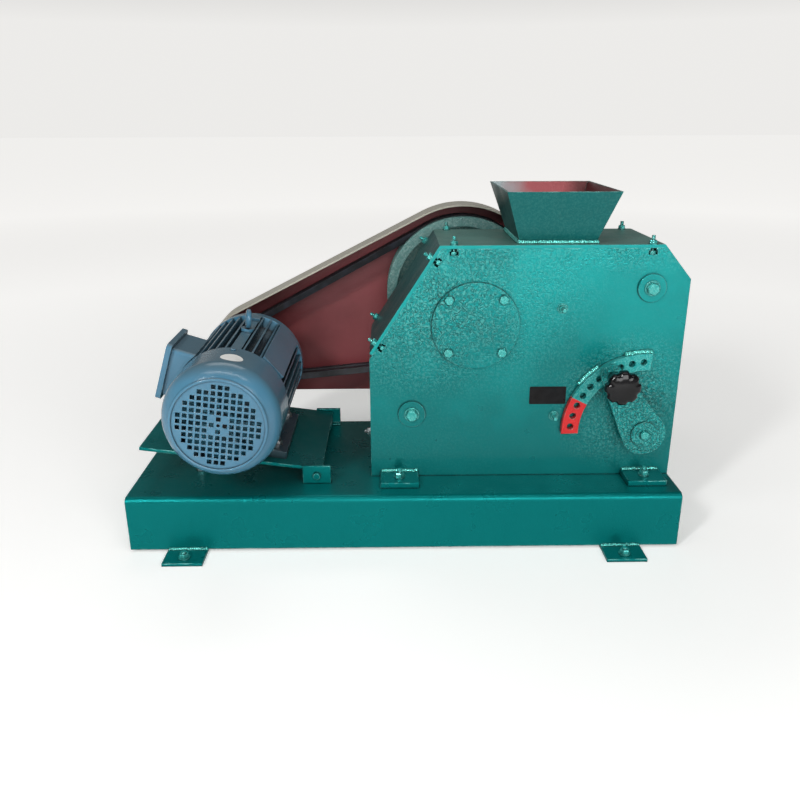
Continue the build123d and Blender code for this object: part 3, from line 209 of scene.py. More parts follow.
# %% Hammered skin
tree, given, result = new_group(
    "hammered skin", {"Cell": 0.0026}, {"Height": FLOAT, "Groove": FLOAT, "Fleck": FLOAT})
per_cell = calculate(tree, "DIVIDE", 1.0, given["Cell"])
wander = noise_over(tree, times(tree, per_cell, 0.8), 1.0, Distortion=0.6)
off_middle = calculate(tree, "ABSOLUTE", calculate(tree, "SUBTRACT", wander, 0.5))
lines = ramp_between(tree, off_middle, 0.085, 0.01)
breaks = ramp_between(tree, noise_over(tree, per_cell, 1.0), 0.40, 0.60)
groove = times(tree, lines, ramp_between(tree, breaks, 0.0, 1.0, 0.3, 1.0))
height = calculate(tree, "SUBTRACT", 1.0, groove)
hammered_skin = end_group(tree, result, Height=height, Groove=groove, Fleck=times(tree, height, breaks))

# %% [markdown]
# No sheet has a razor edge. The Bevel node rounds the shading normal near an edge without
# touching the frame's mesh, and the same rounded normal tells where paint rubs thin. The
# pale colour laid there is partly wear and partly a painted highlight along the edge.

# %% Worn and highlit edges
tree, given, result = new_group("worn and highlit edges", {"Width": 0.0012}, {"Normal": VECTOR, "Wear": FLOAT})
rounded = add_node(tree, "ShaderNodeBevel", {"Radius": given["Width"]}, samples=4).outputs[0]
flat = add_node(tree, "ShaderNodeNewGeometry").outputs["Normal"]
agreement = vector_step(tree, "DOT_PRODUCT", rounded, flat)["Value"]
near_edge = ramp_between(tree, agreement, 0.985, 0.86)
broken = ramp_between(tree, noise_over(tree, 70.0, 4.0), 0.45, 0.62)
worn_and_highlit_edges = end_group(tree, result, Normal=rounded, Wear=times(tree, near_edge, broken))

# %% [markdown]
# Dust and shop dirt lie in soft patches with grainy borders. Two noises of different size
# are multiplied, so that the patches have both a broad shape and a fine edge.

# %% Settled dirt
tree, given, result = new_group("settled dirt", {"Patch": 0.06}, {"Mask": FLOAT})
broad = noise_over(tree, calculate(tree, "DIVIDE", 1.0, given["Patch"]), 3.0)
grain = noise_over(tree, 600.0, 2.0)
settled_dirt = end_group(tree, result, Mask=times(
    tree, ramp_between(tree, broad, 0.5, 0.75), ramp_between(tree, grain, 0.4, 0.65)))

# %% [markdown]
# Where two pieces meet, the gap between them holds some grime. Ambient occlusion over a
# few millimetres finds those corners and darkens them, a painted shade with grime, which
# draws the outlines that covers, washers and nuts have on the real machine.

# %% Painted corner shade and grime
tree, given, result = new_group("corner shade and dirt", {"Reach": 0.004}, {"Mask": FLOAT})
openness = add_node(tree, "ShaderNodeAmbientOcclusion", {"Distance": given["Reach"]}, samples=6)
corner_shade_and_grime = end_group(tree, result, Mask=ramp_between(tree, openness.outputs["AO"], 0.86, 0.40))

# %% [markdown]
# Every finish starts from the same bones: a Principled shader fed with a colour, a
# roughness and a height, over the rounded normal. The colour argument is a function that
# builds its own steps, so that each finish says only what is its own.

# %% The common build of a finish
DIRT = (88, 74, 58)
SHADE_AND_GRIME = (10, 16, 18)
TEAL_FLECK = (140, 226, 216)
SHADE_AND_GRIME_SHARE = 0.85
FLECK_SHARE = 0.28
WEAR_AND_HIGHLIGHT_SHARE = 0.7
COAT_ROUGHNESS = 0.12
finishes = {}


def finish_surface(name, colour_steps, roughness, bump_height=0.0, cell=0.0026, metallic=0.0,
                   edge=0.0012, dirt=0.5, wear_and_highlight_colour=None, coat=0.0, uneven=0.08, zone=None,
                   specular=0.5, tone=None, shade_and_grime_reach=0.004):
    """Make a material from a function that builds its base colour, and keep it by its name."""
    material = bpy.data.materials.new(name)
    material.use_nodes = True
    tree = material.node_tree
    sockets = tree.nodes["Principled BSDF"].inputs
    skin = use_group(tree, hammered_skin, Cell=cell)
    edges = use_group(tree, worn_and_highlit_edges, Width=edge)
    colour = colour_steps(tree, skin)
    strength = zone(tree) if zone else 1.0
    # Painted shade in the grooves and painted highlight on the cells, partly the enamel's own pattern.
    if tone:
        dark_share = times(tree, skin["Groove"], strength, clamp=True)
        light_share = times(tree, skin["Fleck"], strength, clamp=True)
        colour = mix_colours(tree, dark_share, colour, multiplied(tree, colour, tone))
        colour = mix_colours(tree, times(tree, light_share, FLECK_SHARE), colour, TEAL_FLECK)
    # Painted highlight, partly real wear: a pale colour along the rounded edges.
    if wear_and_highlight_colour:
        colour = mix_colours(tree, times(tree, edges["Wear"], WEAR_AND_HIGHLIGHT_SHARE), colour, wear_and_highlight_colour)
    dirt_share = times(tree, use_group(tree, settled_dirt)["Mask"], dirt)
    colour = mix_colours(tree, dirt_share, colour, DIRT)
    # Painted shade with some grime: corners and gaps are darkened towards near black.
    shade_and_grime = use_group(tree, corner_shade_and_grime, Reach=shade_and_grime_reach)["Mask"]
    colour = mix_colours(tree, times(tree, shade_and_grime, SHADE_AND_GRIME_SHARE), colour, SHADE_AND_GRIME)
    cloud = noise_over(tree, 22.0, 4.0)
    rough = ramp_between(tree, cloud, 0.3, 0.7, roughness - uneven, roughness + uneven)
    rough = calculate(tree, "ADD", rough, times(tree, dirt_share, 0.3), clamp=True)
    normal = edges["Normal"]
    if bump_height:
        normal = add_node(tree, "ShaderNodeBump",
                          {"Height": skin["Height"], "Distance": bump_height,
                           "Strength": strength, "Normal": normal}).outputs[0]
    for label, value in (("Base Color", colour), ("Roughness", rough), ("Normal", normal)):
        tree.links.new(value, sockets[label])
    fixed = {"Metallic": metallic, "Specular IOR Level": specular}
    if coat:
        fixed.update({"Coat Weight": coat, "Coat Roughness": COAT_ROUGHNESS})
    for label, value in fixed.items():
        sockets[label].default_value = value
    finishes[name] = material


# %% [markdown]
# Two shades of one enamel are mixed by a broad noise, because hand-sprayed paint is never
# even. Pale flecks stand partly for the leafing metal in hammered enamel and partly for
# painted highlights on its relief.

# %% Sprayed paint colour
LOW_SHADE_BETWEEN = (0.16, 0.40)


def sprayed(main, deep, fleck_colour=None, fleck_share=0.0, shaded_low=False):
    """Give colour steps for paint with uneven depth and pale flecks, and a painted shade low down if
    asked.
    """
    def steps(tree, skin):
        cloud = ramp_between(tree, noise_over(tree, 7.0, 3.0), 0.35, 0.65, 0.0, 0.6)
        # Painted shade: the colour deepens towards the bottom of the piece.
        if shaded_low:
            height = parts_of(tree, place_on(tree))["Z"]
            low = ramp_between(tree, height, *LOW_SHADE_BETWEEN, 1.0, 0.0)
            cloud = calculate(tree, "ADD", cloud, low, clamp=True)
        colour = mix_colours(tree, cloud, main, deep)
        if fleck_colour:
            share = times(tree, skin["Fleck"], fleck_share)
            colour = mix_colours(tree, share, colour, fleck_colour)
        return colour
    return steps


# %% [markdown]
# The spray gun left the hammered effect uneven: rough round the bearing cover, along the
# top edge and round the lever, almost smooth elsewhere. Soft ramps over the plate give
# each of those places, and the strongest one counts at any point.

# %% Where the enamel is hammered
HAMMERED_X = (0.05, 0.31)
HAMMERED_Z = (0.22, 0.34)
TOP_EDGE_Z = (0.41, 0.455)
LEVER_SPOT = (0.345, -0.10, 0.22)
LEVER_REACH = (0.04, 0.13)


def body_zone(tree):
    """Give the strength of the hammered effect over the body."""
    place = place_on(tree)
    parts = parts_of(tree, place)
    left = ramp_between(tree, parts["X"], *HAMMERED_X, 1.0, 0.05)
    lower = ramp_between(tree, parts["Z"], *HAMMERED_Z, 0.10, 1.0)
    top = ramp_between(tree, parts["Z"], *TOP_EDGE_Z, 0.0, 0.7)
    reach = vector_step(tree, "DISTANCE", place, LEVER_SPOT)["Value"]
    lever = ramp_between(tree, reach, *LEVER_REACH, 0.9, 0.0)
    strength = calculate(
        tree, "MAXIMUM", times(tree, left, lower), calculate(tree, "MAXIMUM", top, lever))
    patchy = ramp_between(tree, noise_over(tree, 14.0, 2.0), 0.3, 0.6, 0.55, 1.0)
    return times(tree, strength, patchy, clamp=True)


# %% [markdown]
# The teal enamel holds metal flakes, so it is partly metallic, which keeps its colour
# deep where a white highlight would wash out a plain paint. The cover's top carries a
# painted grey-green reflection, and its slant a painted shade.

# %% Teal paints
TEAL = (14, 150, 148)
TEAL_DEEP = (4, 114, 113)
TEAL_SHADE = (8, 98, 97)
LEFT_SHEET_SHADE = (2, 44, 45)
BASE_TEAL = (6, 118, 117)
# Painted highlight: bolts and weld beads are a lighter teal than the body's paint.
HIGHLIT_BOLT_TEAL = (40, 164, 158)
HIGHLIT_WELD_TEAL = (84, 200, 188)
WORN_AND_HIGHLIT_TEAL = (150, 222, 214)
WORN_AND_HIGHLIT_METAL = (190, 205, 200)
REFLECTED_TOP, REFLECTED_TOP_GREY, SHADED_SLANT_TEAL = (80, 132, 124), (98, 118, 110), (38, 84, 84)
PULLEY, PULLEY_DEEP, PULLEY_FLECK = (92, 138, 134), (58, 104, 102), (180, 200, 194)
enamel = {"wear_and_highlight_colour": WORN_AND_HIGHLIT_TEAL, "metallic": 0.6}
small_enamel = {"bump_height": 0.0001, "metallic": 0.6, "coat": 0.3}


def roof_steps(tree, skin):
    """Give a painted grey-green reflection on the cover's top, a painted shade on the slant and plain
    teal on the cut edges.
    """
    # Painted reflection on the level top, painted shade on the slant.
    reflected_top = sprayed(REFLECTED_TOP, REFLECTED_TOP_GREY)(tree, skin)
    facing = facing_parts(tree)
    level = ramp_between(tree, facing["Z"], 0.75, 0.95)
    flat = mix_colours(tree, level, SHADED_SLANT_TEAL, reflected_top)
    edge = ramp_between(tree, calculate(tree, "ABSOLUTE", facing["Y"]), 0.6, 0.9)
    return mix_colours(tree, edge, flat, TEAL)


finish_surface("plate_paint", sprayed(TEAL, TEAL_DEEP, shaded_low=True), 0.34, bump_height=0.0012,
               cell=0.0042, edge=0.0018, dirt=0.0, coat=0.25, zone=body_zone, specular=0.15,
               tone=0.50, **enamel)
finish_surface("lever_paint", sprayed(TEAL, TEAL_DEEP), 0.32, bump_height=0.0012, cell=0.0030,
               edge=0.0014, dirt=0.04, coat=0.25, specular=0.15, tone=0.45, **enamel)
finish_surface("base_paint", sprayed(BASE_TEAL, TEAL_DEEP), 0.32, bump_height=0.0001, cell=0.0034,
               edge=0.0030, dirt=0.0, specular=0.1, **enamel)
finish_surface("roof_paint", roof_steps, 0.42, bump_height=0.0001, cell=0.0034,
               wear_and_highlight_colour=WORN_AND_HIGHLIT_TEAL, dirt=0.25, metallic=0.3, specular=0.3)
finish_surface("pulley_paint", sprayed(PULLEY, PULLEY_DEEP, PULLEY_FLECK, 0.3), 0.36,
               bump_height=0.0003, cell=0.0040, dirt=0.25, metallic=0.3)
finish_surface("bolt_paint", sprayed(HIGHLIT_BOLT_TEAL, TEAL, TEAL_FLECK, 0.4), 0.22, cell=0.0022,
               edge=0.0005, wear_and_highlight_colour=WORN_AND_HIGHLIT_METAL, dirt=0.2, **small_enamel)
finish_surface("weld_paint", sprayed(HIGHLIT_WELD_TEAL, TEAL, TEAL_FLECK, 0.6), 0.20, cell=0.0016,
               edge=0.0003, dirt=0.15, **small_enamel)
print("teal paints:", len(finishes))

# %% [markdown]
# The motor came with its own smooth blue. A painted reflection greys what faces up or
# back. The narrow gaps between the cooling fins and round the feet get a painted shade
# that reaches further, and the feet are a darker blue, also a painted shade.

# %% Motor paints
MOTOR_BLUE = (78, 128, 154)
MOTOR_BLUE_DEEP = (62, 108, 134)
MOTOR_REFLECTION_GREY = (82, 104, 114)
# Painted shade: the feet are a darker blue than the rest of the motor.
SHADED_FOOT_BLUE, SHADED_FOOT_BLUE_DEEP = (40, 66, 76), (26, 46, 54)
# Painted shade with grime reaches this far into the gaps between the fins and round the feet.
FIN_SHADE_AND_GRIME_REACH = 0.016
motor_finish = {"bump_height": 0.00004, "cell": 0.0016, "edge": 0.0010, "uneven": 0.04,
                "wear_and_highlight_colour": (190, 212, 222), "dirt": 0.15}


def motor_steps(tree, skin):
    """Give the motor's blue, greyed by a painted reflection on what faces up or back."""
    blue = sprayed(MOTOR_BLUE, MOTOR_BLUE_DEEP)(tree, skin)
    facing = facing_parts(tree)
    # Painted reflection: faces that look up or back turn grey.
    upward = ramp_between(tree, facing["Z"], 0.55, 0.95, 0.0, 0.8)
    rearward = ramp_between(tree, facing["Y"], -0.55, -0.1, 0.0, 0.5)
    return mix_colours(tree, calculate(tree, "MAXIMUM", upward, rearward), blue, MOTOR_REFLECTION_GREY)


finish_surface("motor_paint", motor_steps, 0.15, **motor_finish)
finish_surface("fin_paint", motor_steps, 0.20, shade_and_grime_reach=FIN_SHADE_AND_GRIME_REACH, **motor_finish)
finish_surface("shaded_foot_paint", sprayed(SHADED_FOOT_BLUE, SHADED_FOOT_BLUE_DEEP), 0.30, shade_and_grime_reach=FIN_SHADE_AND_GRIME_REACH,
               **motor_finish)
print("paints made:", len(finishes))

# %% [markdown]
# The hopper and the belt guard are folded sheet with another paint inside than outside.
# Each face of a thin shell either looks away from the middle of the shell or towards it,
# so the sign of one dot product tells inside from outside, with no second material on
# the mesh.


# %% Two-sided sheet colour
def middle_of(node):
    """Give the middle of a node's box."""
    low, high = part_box(node)
    return (low + high) / 2


def shell_inside(tree, middle, weights):
    """Give 1 on faces that look towards the middle and 0 on the others."""
    source = add_node(tree, "ShaderNodeTexCoord").outputs
    offset = vector_step(tree, "SUBTRACT", source["Object"], middle)["Vector"]
    flattened = vector_step(tree, "MULTIPLY", offset, weights)["Vector"]
    facing = vector_step(tree, "DOT_PRODUCT", flattened, source["Normal"])["Value"]
    return ramp_between(tree, facing, 0.001, -0.001)


def two_sided(node, weights, outside_steps, inside_steps):
    """Give colour steps with one colour outside a shell and another inside."""
    middle = tuple(middle_of(node))

    def steps(tree, skin):
        return mix_colours(tree, shell_inside(tree, middle, weights), outside_steps(tree, skin),
                           inside_steps(tree, skin))
    return steps


# %% [markdown]
# A guard like this is primed all over, and then only its outside is sprayed. Its back is
# teal here, and the band round its edge is pale, a painted reflection. The primer inside
# has a painted shade towards the motor and on the flange.

# %% Colours of the belt guard
PRIMER, PRIMER_SHADE, FLANGE_SHADE = (146, 72, 76), (84, 30, 33), (44, 20, 20)
SHEEN_BAND, SHEEN_BAND_DEEP = (176, 172, 158), (158, 156, 146)
NEAR_MOTOR_X = (-0.26, -0.06)


def guard_inside(tree, skin):
    """Give the cloudy red-brown of primer, with a painted shade near the motor and on the flange."""
    across = parts_of(tree, place_on(tree))["X"]
    # Painted shade towards the motor.
    shade = ramp_between(tree, across, *NEAR_MOTOR_X, 0.85, 0.0)
    cloud = ramp_between(tree, noise_over(tree, 9.0, 5.0), 0.4, 0.7, 0.0, 0.35)
    mixed = calculate(tree, "ADD", shade, cloud, clamp=True)
    # Painted shade on the flange round the edge.
    level = calculate(tree, "ABSOLUTE", facing_parts(tree)["Y"])
    flange_shade_share = ramp_between(tree, level, 0.9, 0.5, 0.0, 0.8)
    return mix_colours(tree, flange_shade_share, mix_colours(tree, mixed, PRIMER, PRIMER_SHADE), FLANGE_SHADE)


def guard_outside(tree, skin):
    """Give teal on the guard's back and a pale painted reflection on the band round its edge."""
    # Painted reflection: the band round the edge is pale grey.
    back = ramp_between(tree, facing_parts(tree)["Y"], 0.6, 0.9)
    return mix_colours(
        tree, back, sprayed(SHEEN_BAND, SHEEN_BAND_DEEP)(tree, skin), sprayed(TEAL_DEEP, TEAL_SHADE)(tree, skin))


finish_surface("guard_paint", two_sided("belt_guard", (1, 1, 1), guard_outside, guard_inside), 0.36,
               bump_height=0.00006, cell=0.0022, dirt=0.15, specular=0.4)
print("guard's middle", middle_of("belt_guard"))

# %% [markdown]
# The hopper is a deeper teal outside than the body, with a painted shade on the sheet that
# leans to the left. Its inside is primer that turns pale grey-teal on the left and darker on
# the far sheet, a painted shade.

# %% Colours of the hopper
HOPPER_PRIMER, HOPPER_PRIMER_DARK, PALE_LEFT_INSIDE = (150, 76, 80), (92, 44, 46), (140, 160, 162)
PALE_LEFT_X = (0.185, 0.235)
FAR_SHEET_X = (0.265, 0.29)


def hopper_inside(tree, skin):
    """Give primer that fades into a pale grey-teal on the hopper's left and darkens on the far sheet."""
    across = parts_of(tree, place_on(tree))["X"]
    ragged = calculate(tree, "ADD", across, times(tree, noise_over(tree, 30.0, 4.0), 0.05))
    pale_left = ramp_between(tree, ragged, *PALE_LEFT_X, 0.9, 0.0)
    # Painted shade on the far sheet.
    shade = ramp_between(tree, across, *FAR_SHEET_X)
    primer = mix_colours(tree, shade, HOPPER_PRIMER, HOPPER_PRIMER_DARK)
    return mix_colours(tree, pale_left, primer, PALE_LEFT_INSIDE)


def hopper_outside(tree, skin):
    """Give a deep teal, with a painted shade on the sheet that leans to the left."""
    teal = sprayed(TEAL_SHADE, TEAL_SHADE, TEAL_FLECK, 0.05)(tree, skin)
    # Painted shade on the sheet that leans to the left.
    left = ramp_between(tree, facing_parts(tree)["X"], -0.7, -0.4, 0.7, 0.0)
    return mix_colours(tree, left, teal, LEFT_SHEET_SHADE)


finish_surface("hopper_paint", two_sided("hopper", (1, 1, 0), hopper_outside, hopper_inside), 0.36,
               bump_height=0.0001, cell=0.0030, edge=0.0016, wear_and_highlight_colour=WORN_AND_HIGHLIT_TEAL, dirt=0.1,
               metallic=0.3, specular=0.3)
print("hopper's middle", middle_of("hopper"))

# %% [markdown]
# The last three index holes of the quadrant are painted red, to warn of too narrow a jaw
# setting. Sine of the angle past the paint's border, seen from the lever's pivot, is
# positive on the red part only.

# %% Quadrant with its red zone
RED_STARTS = radians(153.4)
RED = (205, 46, 48)
pivot = middle_of("arm_washer")


def quadrant_steps(tree, skin):
    """Give teal paint that turns red past an angle round the lever's pivot."""
    offset = vector_step(tree, "SUBTRACT", place_on(tree), tuple(pivot))["Vector"]
    border = (-sin(RED_STARTS), 0.0, cos(RED_STARTS))
    past = vector_step(tree, "DOT_PRODUCT", offset, border)["Value"]
    teal = sprayed(TEAL, TEAL_DEEP, TEAL_FLECK, 0.35)(tree, skin)
    return mix_colours(tree, ramp_between(tree, past, -0.0004, 0.0004), teal, RED)


finish_surface("quadrant_paint", quadrant_steps, 0.30, bump_height=0.0002, cell=0.0026,
               edge=0.0014, wear_and_highlight_colour=WORN_AND_HIGHLIT_TEAL, dirt=0.05, metallic=0.3, specular=0.3)
print("pivot at", [round(v, 3) for v in pivot])

# %% [markdown]
# Bare pieces: turned steel, cast jaw iron with rust, belt rubber with a dusty bloom, and
# plastics. Rust is a second colour in patches, not a separate shader.


# %% Bare materials
def blotched(main, other, scale, low=0.4, high=0.7):
    """Give colour steps that mix two colours in patches."""
    def steps(tree, skin):
        patches = ramp_between(tree, noise_over(tree, scale, 6.0), low, high)
        return mix_colours(tree, patches, main, other)
    return steps


finish_surface("turned_steel", blotched((168, 172, 174), (120, 122, 122), 90.0), 0.34,
               bump_height=0.00002, cell=0.0008, metallic=0.85, edge=0.0006, dirt=0.2)
finish_surface("blacked_steel", blotched((44, 50, 54), (30, 34, 38), 60.0), 0.4, metallic=0.6)
finish_surface("jaw_iron", blotched((92, 88, 84), (116, 66, 38), 35.0, 0.45), 0.6,
               bump_height=0.0003, cell=0.0020, metallic=0.5, dirt=0.5)
finish_surface("belt_rubber", blotched((16, 18, 24), (44, 46, 58), 60.0, 0.45, 0.8), 0.55,
               bump_height=0.00005, cell=0.0010, edge=0.0008, dirt=0.15)
finish_surface("knob_plastic", blotched((8, 8, 10), (15, 15, 18), 40.0), 0.14, edge=0.0016,
               dirt=0.03, uneven=0.03, specular=0.36)
# Painted light: the fan is given a light blue so that it shows inside the dark cowl.
finish_surface("fan_plastic", blotched((44, 110, 132), (24, 66, 82), 50.0), 0.5,
               bump_height=0.00003, cell=0.0012, dirt=0.4)
finish_surface("label_black", blotched((14, 14, 16), (24, 24, 26), 80.0), 0.32, edge=0.0003,
               dirt=0.05, specular=0.15)
finish_surface("label_white", blotched((232, 232, 228), (214, 214, 210), 60.0, 0.5, 0.8), 0.4,
               edge=0.0002, dirt=0.08)
print("finishes made:", len(finishes))

# %% [markdown]
# Each node of the frame keeps its mesh and is given its finish here. The table is grouped
# by finish, so a look at it tells which pieces were painted in one go.

# %% Give every node its finish
finish_of = {
    "plate_paint": ["side_plate_front", "side_plate_rear", "bearing_cover_front",
                    "bearing_cover_rear", "bar_washers"],
    "lever_paint": ["adjusting_arm", "arm_washer"],
    "roof_paint": ["cover_plate"],
    "pulley_paint": ["crusher_pulley", "motor_pulley"],
    "base_paint": ["base_frame", "base_ends", "mounting_feet", "left_end_wall", "right_end_wall",
                   "hold_down_tabs", "motor_plate", "hinge_brackets", "hinge_rod", "guard_brackets"],
    "hopper_paint": ["hopper"],
    "guard_paint": ["belt_guard"],
    "quadrant_paint": ["quadrant"],
    "fin_paint": ["motor_frame"],
    "shaded_foot_paint": ["motor_feet"],
    "motor_paint": ["motor_end_shield", "motor_cowl", "cowl_grille", "terminal_box",
                    "terminal_box_lid", "lifting_eye"],
    "turned_steel": ["eccentric_shaft", "bearings", "toggle_bar", "hanger_bar", "lever_shaft",
                     "jack_screws"],
    "blacked_steel": ["motor_shaft"],
    "jaw_iron": ["moving_jaw", "moving_jaw_plate", "fixed_jaw", "fixed_jaw_plate", "cheek_plates",
                 "toggle_plate"],
    "belt_rubber": ["belt_front", "belt_rear"],
    "knob_plastic": ["index_knob"],
    "fan_plastic": ["motor_fan"],
}
for finish, names in finish_of.items():
    for name in names:
        cad_nodes[name].data.materials.clear()
        cad_nodes[name].data.materials.append(finishes[finish])
print("nodes finished:", sum(len(names) for names in finish_of.values()), "of", len(cad_nodes))

# %% [markdown]
# Bolts and weld beads are made by geometry trees. A tree ends in Realize Instances,
# which turns its copies into plain mesh, and is given its sizes as named inputs.


# %% Helpers for geometry trees
def new_geometry_tree(name, floats, switches=()):
    """Start a geometry tree with float inputs, switches and a material input."""
    tree = bpy.data.node_groups.new(name, "GeometryNodeTree")
    kinds = [("Geometry", "NodeSocketGeometry")]
    kinds += [(label, FLOAT) for label in floats]
    kinds += [(label, "NodeSocketBool") for label in switches]
    kinds.append(("Material", "NodeSocketMaterial"))
    for label, kind in kinds:
        tree.interface.new_socket(name=label, in_out="INPUT", socket_type=kind)
    tree.interface.new_socket(name="Geometry", in_out="OUTPUT", socket_type="NodeSocketGeometry")
    return tree, tree.nodes.new("NodeGroupInput").outputs


def end_tree(tree, given, geometry):
    """Realize the copies, give them their material and end the tree."""
    real = add_node(tree, "GeometryNodeRealizeInstances", {0: geometry}).outputs[0]
    done = add_node(tree, "GeometryNodeSetMaterial", {"Geometry": real, "Material": given["Material"]})
    tree.links.new(done.outputs[0], tree.nodes.new("NodeGroupOutput").inputs[0])
    print(tree.name, "tree has", len(tree.nodes), "nodes")
    return tree


# %% [markdown]
# A nut, a stud and a washer are cylinders and cut-off cones that stand on one another, so
# the helpers that make them take the height of the foot. The other helpers join meshes,
# let one through only where it is wanted, and give each copy its own random value.


# %% Shapes in a geometry tree
def along_z(tree, height):
    """Give a vector that points up by a height."""
    return add_node(tree, "ShaderNodeCombineXYZ", {"Z": height}).outputs[0]


def raised(tree, made, height):
    """Lift the mesh that a node makes."""
    return add_node(tree, "GeometryNodeTransform", {
        "Geometry": made.outputs["Mesh"], "Translation": along_z(tree, height)}).outputs[0]


def cylinder(tree, sides, radius, depth, foot=0.0):
    """Stand a cylinder on a height."""
    made = add_node(
        tree, "GeometryNodeMeshCylinder", {"Vertices": sides, "Radius": radius, "Depth": depth})
    return raised(tree, made, calculate(tree, "ADD", foot, times(tree, depth, 0.5)))


def cone(tree, sides, bottom, top, depth, foot=0.0):
    """Stand a cut-off cone on a height."""
    made = add_node(tree, "GeometryNodeMeshCone", {
        "Vertices": sides, "Radius Bottom": bottom, "Radius Top": top, "Depth": depth})
    return raised(tree, made, foot)


def joined(tree, *meshes):
    """Join meshes into one."""
    join = tree.nodes.new("GeometryNodeJoinGeometry")
    for mesh in meshes:
        tree.links.new(mesh, join.inputs[0])
    return join.outputs[0]


def switched(tree, wanted, mesh):
    """Let a mesh through only where it is wanted."""
    return add_node(
        tree, "GeometryNodeSwitch", {"Switch": wanted, "True": mesh}, input_type="GEOMETRY").outputs[0]


def random_between(tree, low, high, seed, kind):
    """Give each copy its own value between two."""
    made = add_node(
        tree, "FunctionNodeRandomValue", {"Min": low, "Max": high, "Seed": seed}, data_type=kind)
    return next(socket for socket in made.outputs if socket.enabled)


# %% [markdown]
# Bolts repeat, so one tree makes them all. It takes points, each with the direction that
# its bolt stands in, and puts a washer, a chamfered hexagon and a threaded stud on each.
# Lengths are inputs, so an M6 nut and an M10 head come from the same tree. A stud isn't a
# whole number of pitches long, so that its end doesn't coincide with its last turn.

# %% The fastener tree
THREAD_DEPTH = 0.86
CHAMFER_SHARE = 0.22
CROWN_SHARE = 0.86
ROUND_SIDES = 32
STUD_SIDES = 20
HEXAGON = 6

tree, given = new_geometry_tree(
    "fasteners", ("Across Flats", "Height", "Washer Radius", "Washer Thickness", "Stud Radius",
                  "Stud Length", "Pitch"), ("Washer", "Stud"))
washer = cylinder(tree, ROUND_SIDES, given["Washer Radius"], given["Washer Thickness"])
washer = switched(tree, given["Washer"], washer)
seat = times(tree, given["Washer Thickness"], given["Washer"])
corner = calculate(tree, "DIVIDE", given["Across Flats"], sqrt(3))
crown = times(tree, given["Height"], CHAMFER_SHARE)
trunk = calculate(tree, "SUBTRACT", given["Height"], crown)
prism = cylinder(tree, HEXAGON, corner, trunk, seat)
cap = cone(tree, HEXAGON, corner, times(tree, corner, CROWN_SHARE), crown,
           calculate(tree, "ADD", seat, trunk))
top = calculate(tree, "ADD", seat, given["Height"])
root = times(tree, given["Stud Radius"], THREAD_DEPTH)
core = cylinder(tree, STUD_SIDES, root, given["Stud Length"], top)
half_pitch = times(tree, given["Pitch"], 0.5)
rise = cone(tree, STUD_SIDES, root, given["Stud Radius"], half_pitch)
fall = cone(tree, STUD_SIDES, given["Stud Radius"], root, half_pitch, half_pitch)
turns = calculate(tree, "FLOOR", calculate(tree, "DIVIDE", given["Stud Length"], given["Pitch"]))
line = add_node(tree, "GeometryNodeMeshLine",
                {"Count": turns, "Start Location": along_z(tree, top),
                 "Offset": along_z(tree, given["Pitch"])}).outputs[0]
thread = add_node(tree, "GeometryNodeInstanceOnPoints",
                  {"Points": line, "Instance": joined(tree, rise, fall)}).outputs[0]
stud = switched(tree, given["Stud"], joined(tree, core, thread))
axis = add_node(tree, "GeometryNodeInputNamedAttribute", {"Name": "axis"},
                data_type="FLOAT_VECTOR").outputs["Attribute"]
stand = add_node(tree, "FunctionNodeAlignRotationToVector", {"Vector": axis}, axis="Z")
spin = add_node(tree, "FunctionNodeAxisAngleToRotation",
                {"Axis": (0.0, 0.0, 1.0),
                 "Angle": random_between(tree, 0.0, pi / 3, 7, "FLOAT")})
standing = add_node(tree, "FunctionNodeRotateRotation",
                    {"Rotation": stand.outputs[0], "Rotate By": spin.outputs[0]},
                    rotation_space="LOCAL")
copies = add_node(tree, "GeometryNodeInstanceOnPoints",
                  {"Points": given["Geometry"], "Rotation": standing.outputs[0],
                   "Instance": joined(tree, washer, prism, cap, stud)})
fasteners = end_tree(tree, given, copies.outputs[0])

# %% [markdown]
# A tree works through a modifier. Each input is set by its socket's identifier, the
# result is turned into a plain mesh, and the modifier goes before the piece is tied to
# the frame.


# %% Bake a tree into a piece
def identifier_of(tree, label):
    """Find the identifier of a tree's input socket by its name."""
    return next(item.identifier for item in tree.interface.items_tree
                if item.in_out == "INPUT" and item.name == label)


def link_object(name, mesh):
    """Put a mesh into the scene as an object at the origin."""
    made = bpy.data.objects.new(name, mesh)
    bpy.context.scene.collection.objects.link(made)
    return made


def bake_tree(name, mesh, tree, values, body):
    """Run a geometry tree on a mesh and keep the result as a piece of a body."""
    piece = link_object(name, mesh)
    modifier = piece.modifiers.new("tree", "NODES")
    modifier.node_group = tree
    for label, value in values.items():
        modifier[identifier_of(tree, label)] = value
    ready = piece.evaluated_get(bpy.context.evaluated_depsgraph_get())
    baked = bpy.data.meshes.new_from_object(ready)
    piece.modifiers.clear()
    piece.data = baked
    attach(piece, body)
    print(name, "triangles:", sum(len(p.vertices) - 2 for p in baked.polygons))


def bolts(name, places, size, body="machine", finish="bolt_paint"):
    """Stand a fastener at each place, given as a point and the direction it points in."""
    mesh = bpy.data.meshes.new(name)
    mesh.from_pydata([tuple(point) for point, _ in places], [], [])
    axes = mesh.attributes.new("axis", "FLOAT_VECTOR", "POINT")
    for index, (_, direction) in enumerate(places):
        axes.data[index].vector = direction
    bake_tree(name, mesh, fasteners, dict(size, Material=finishes[finish]), body)


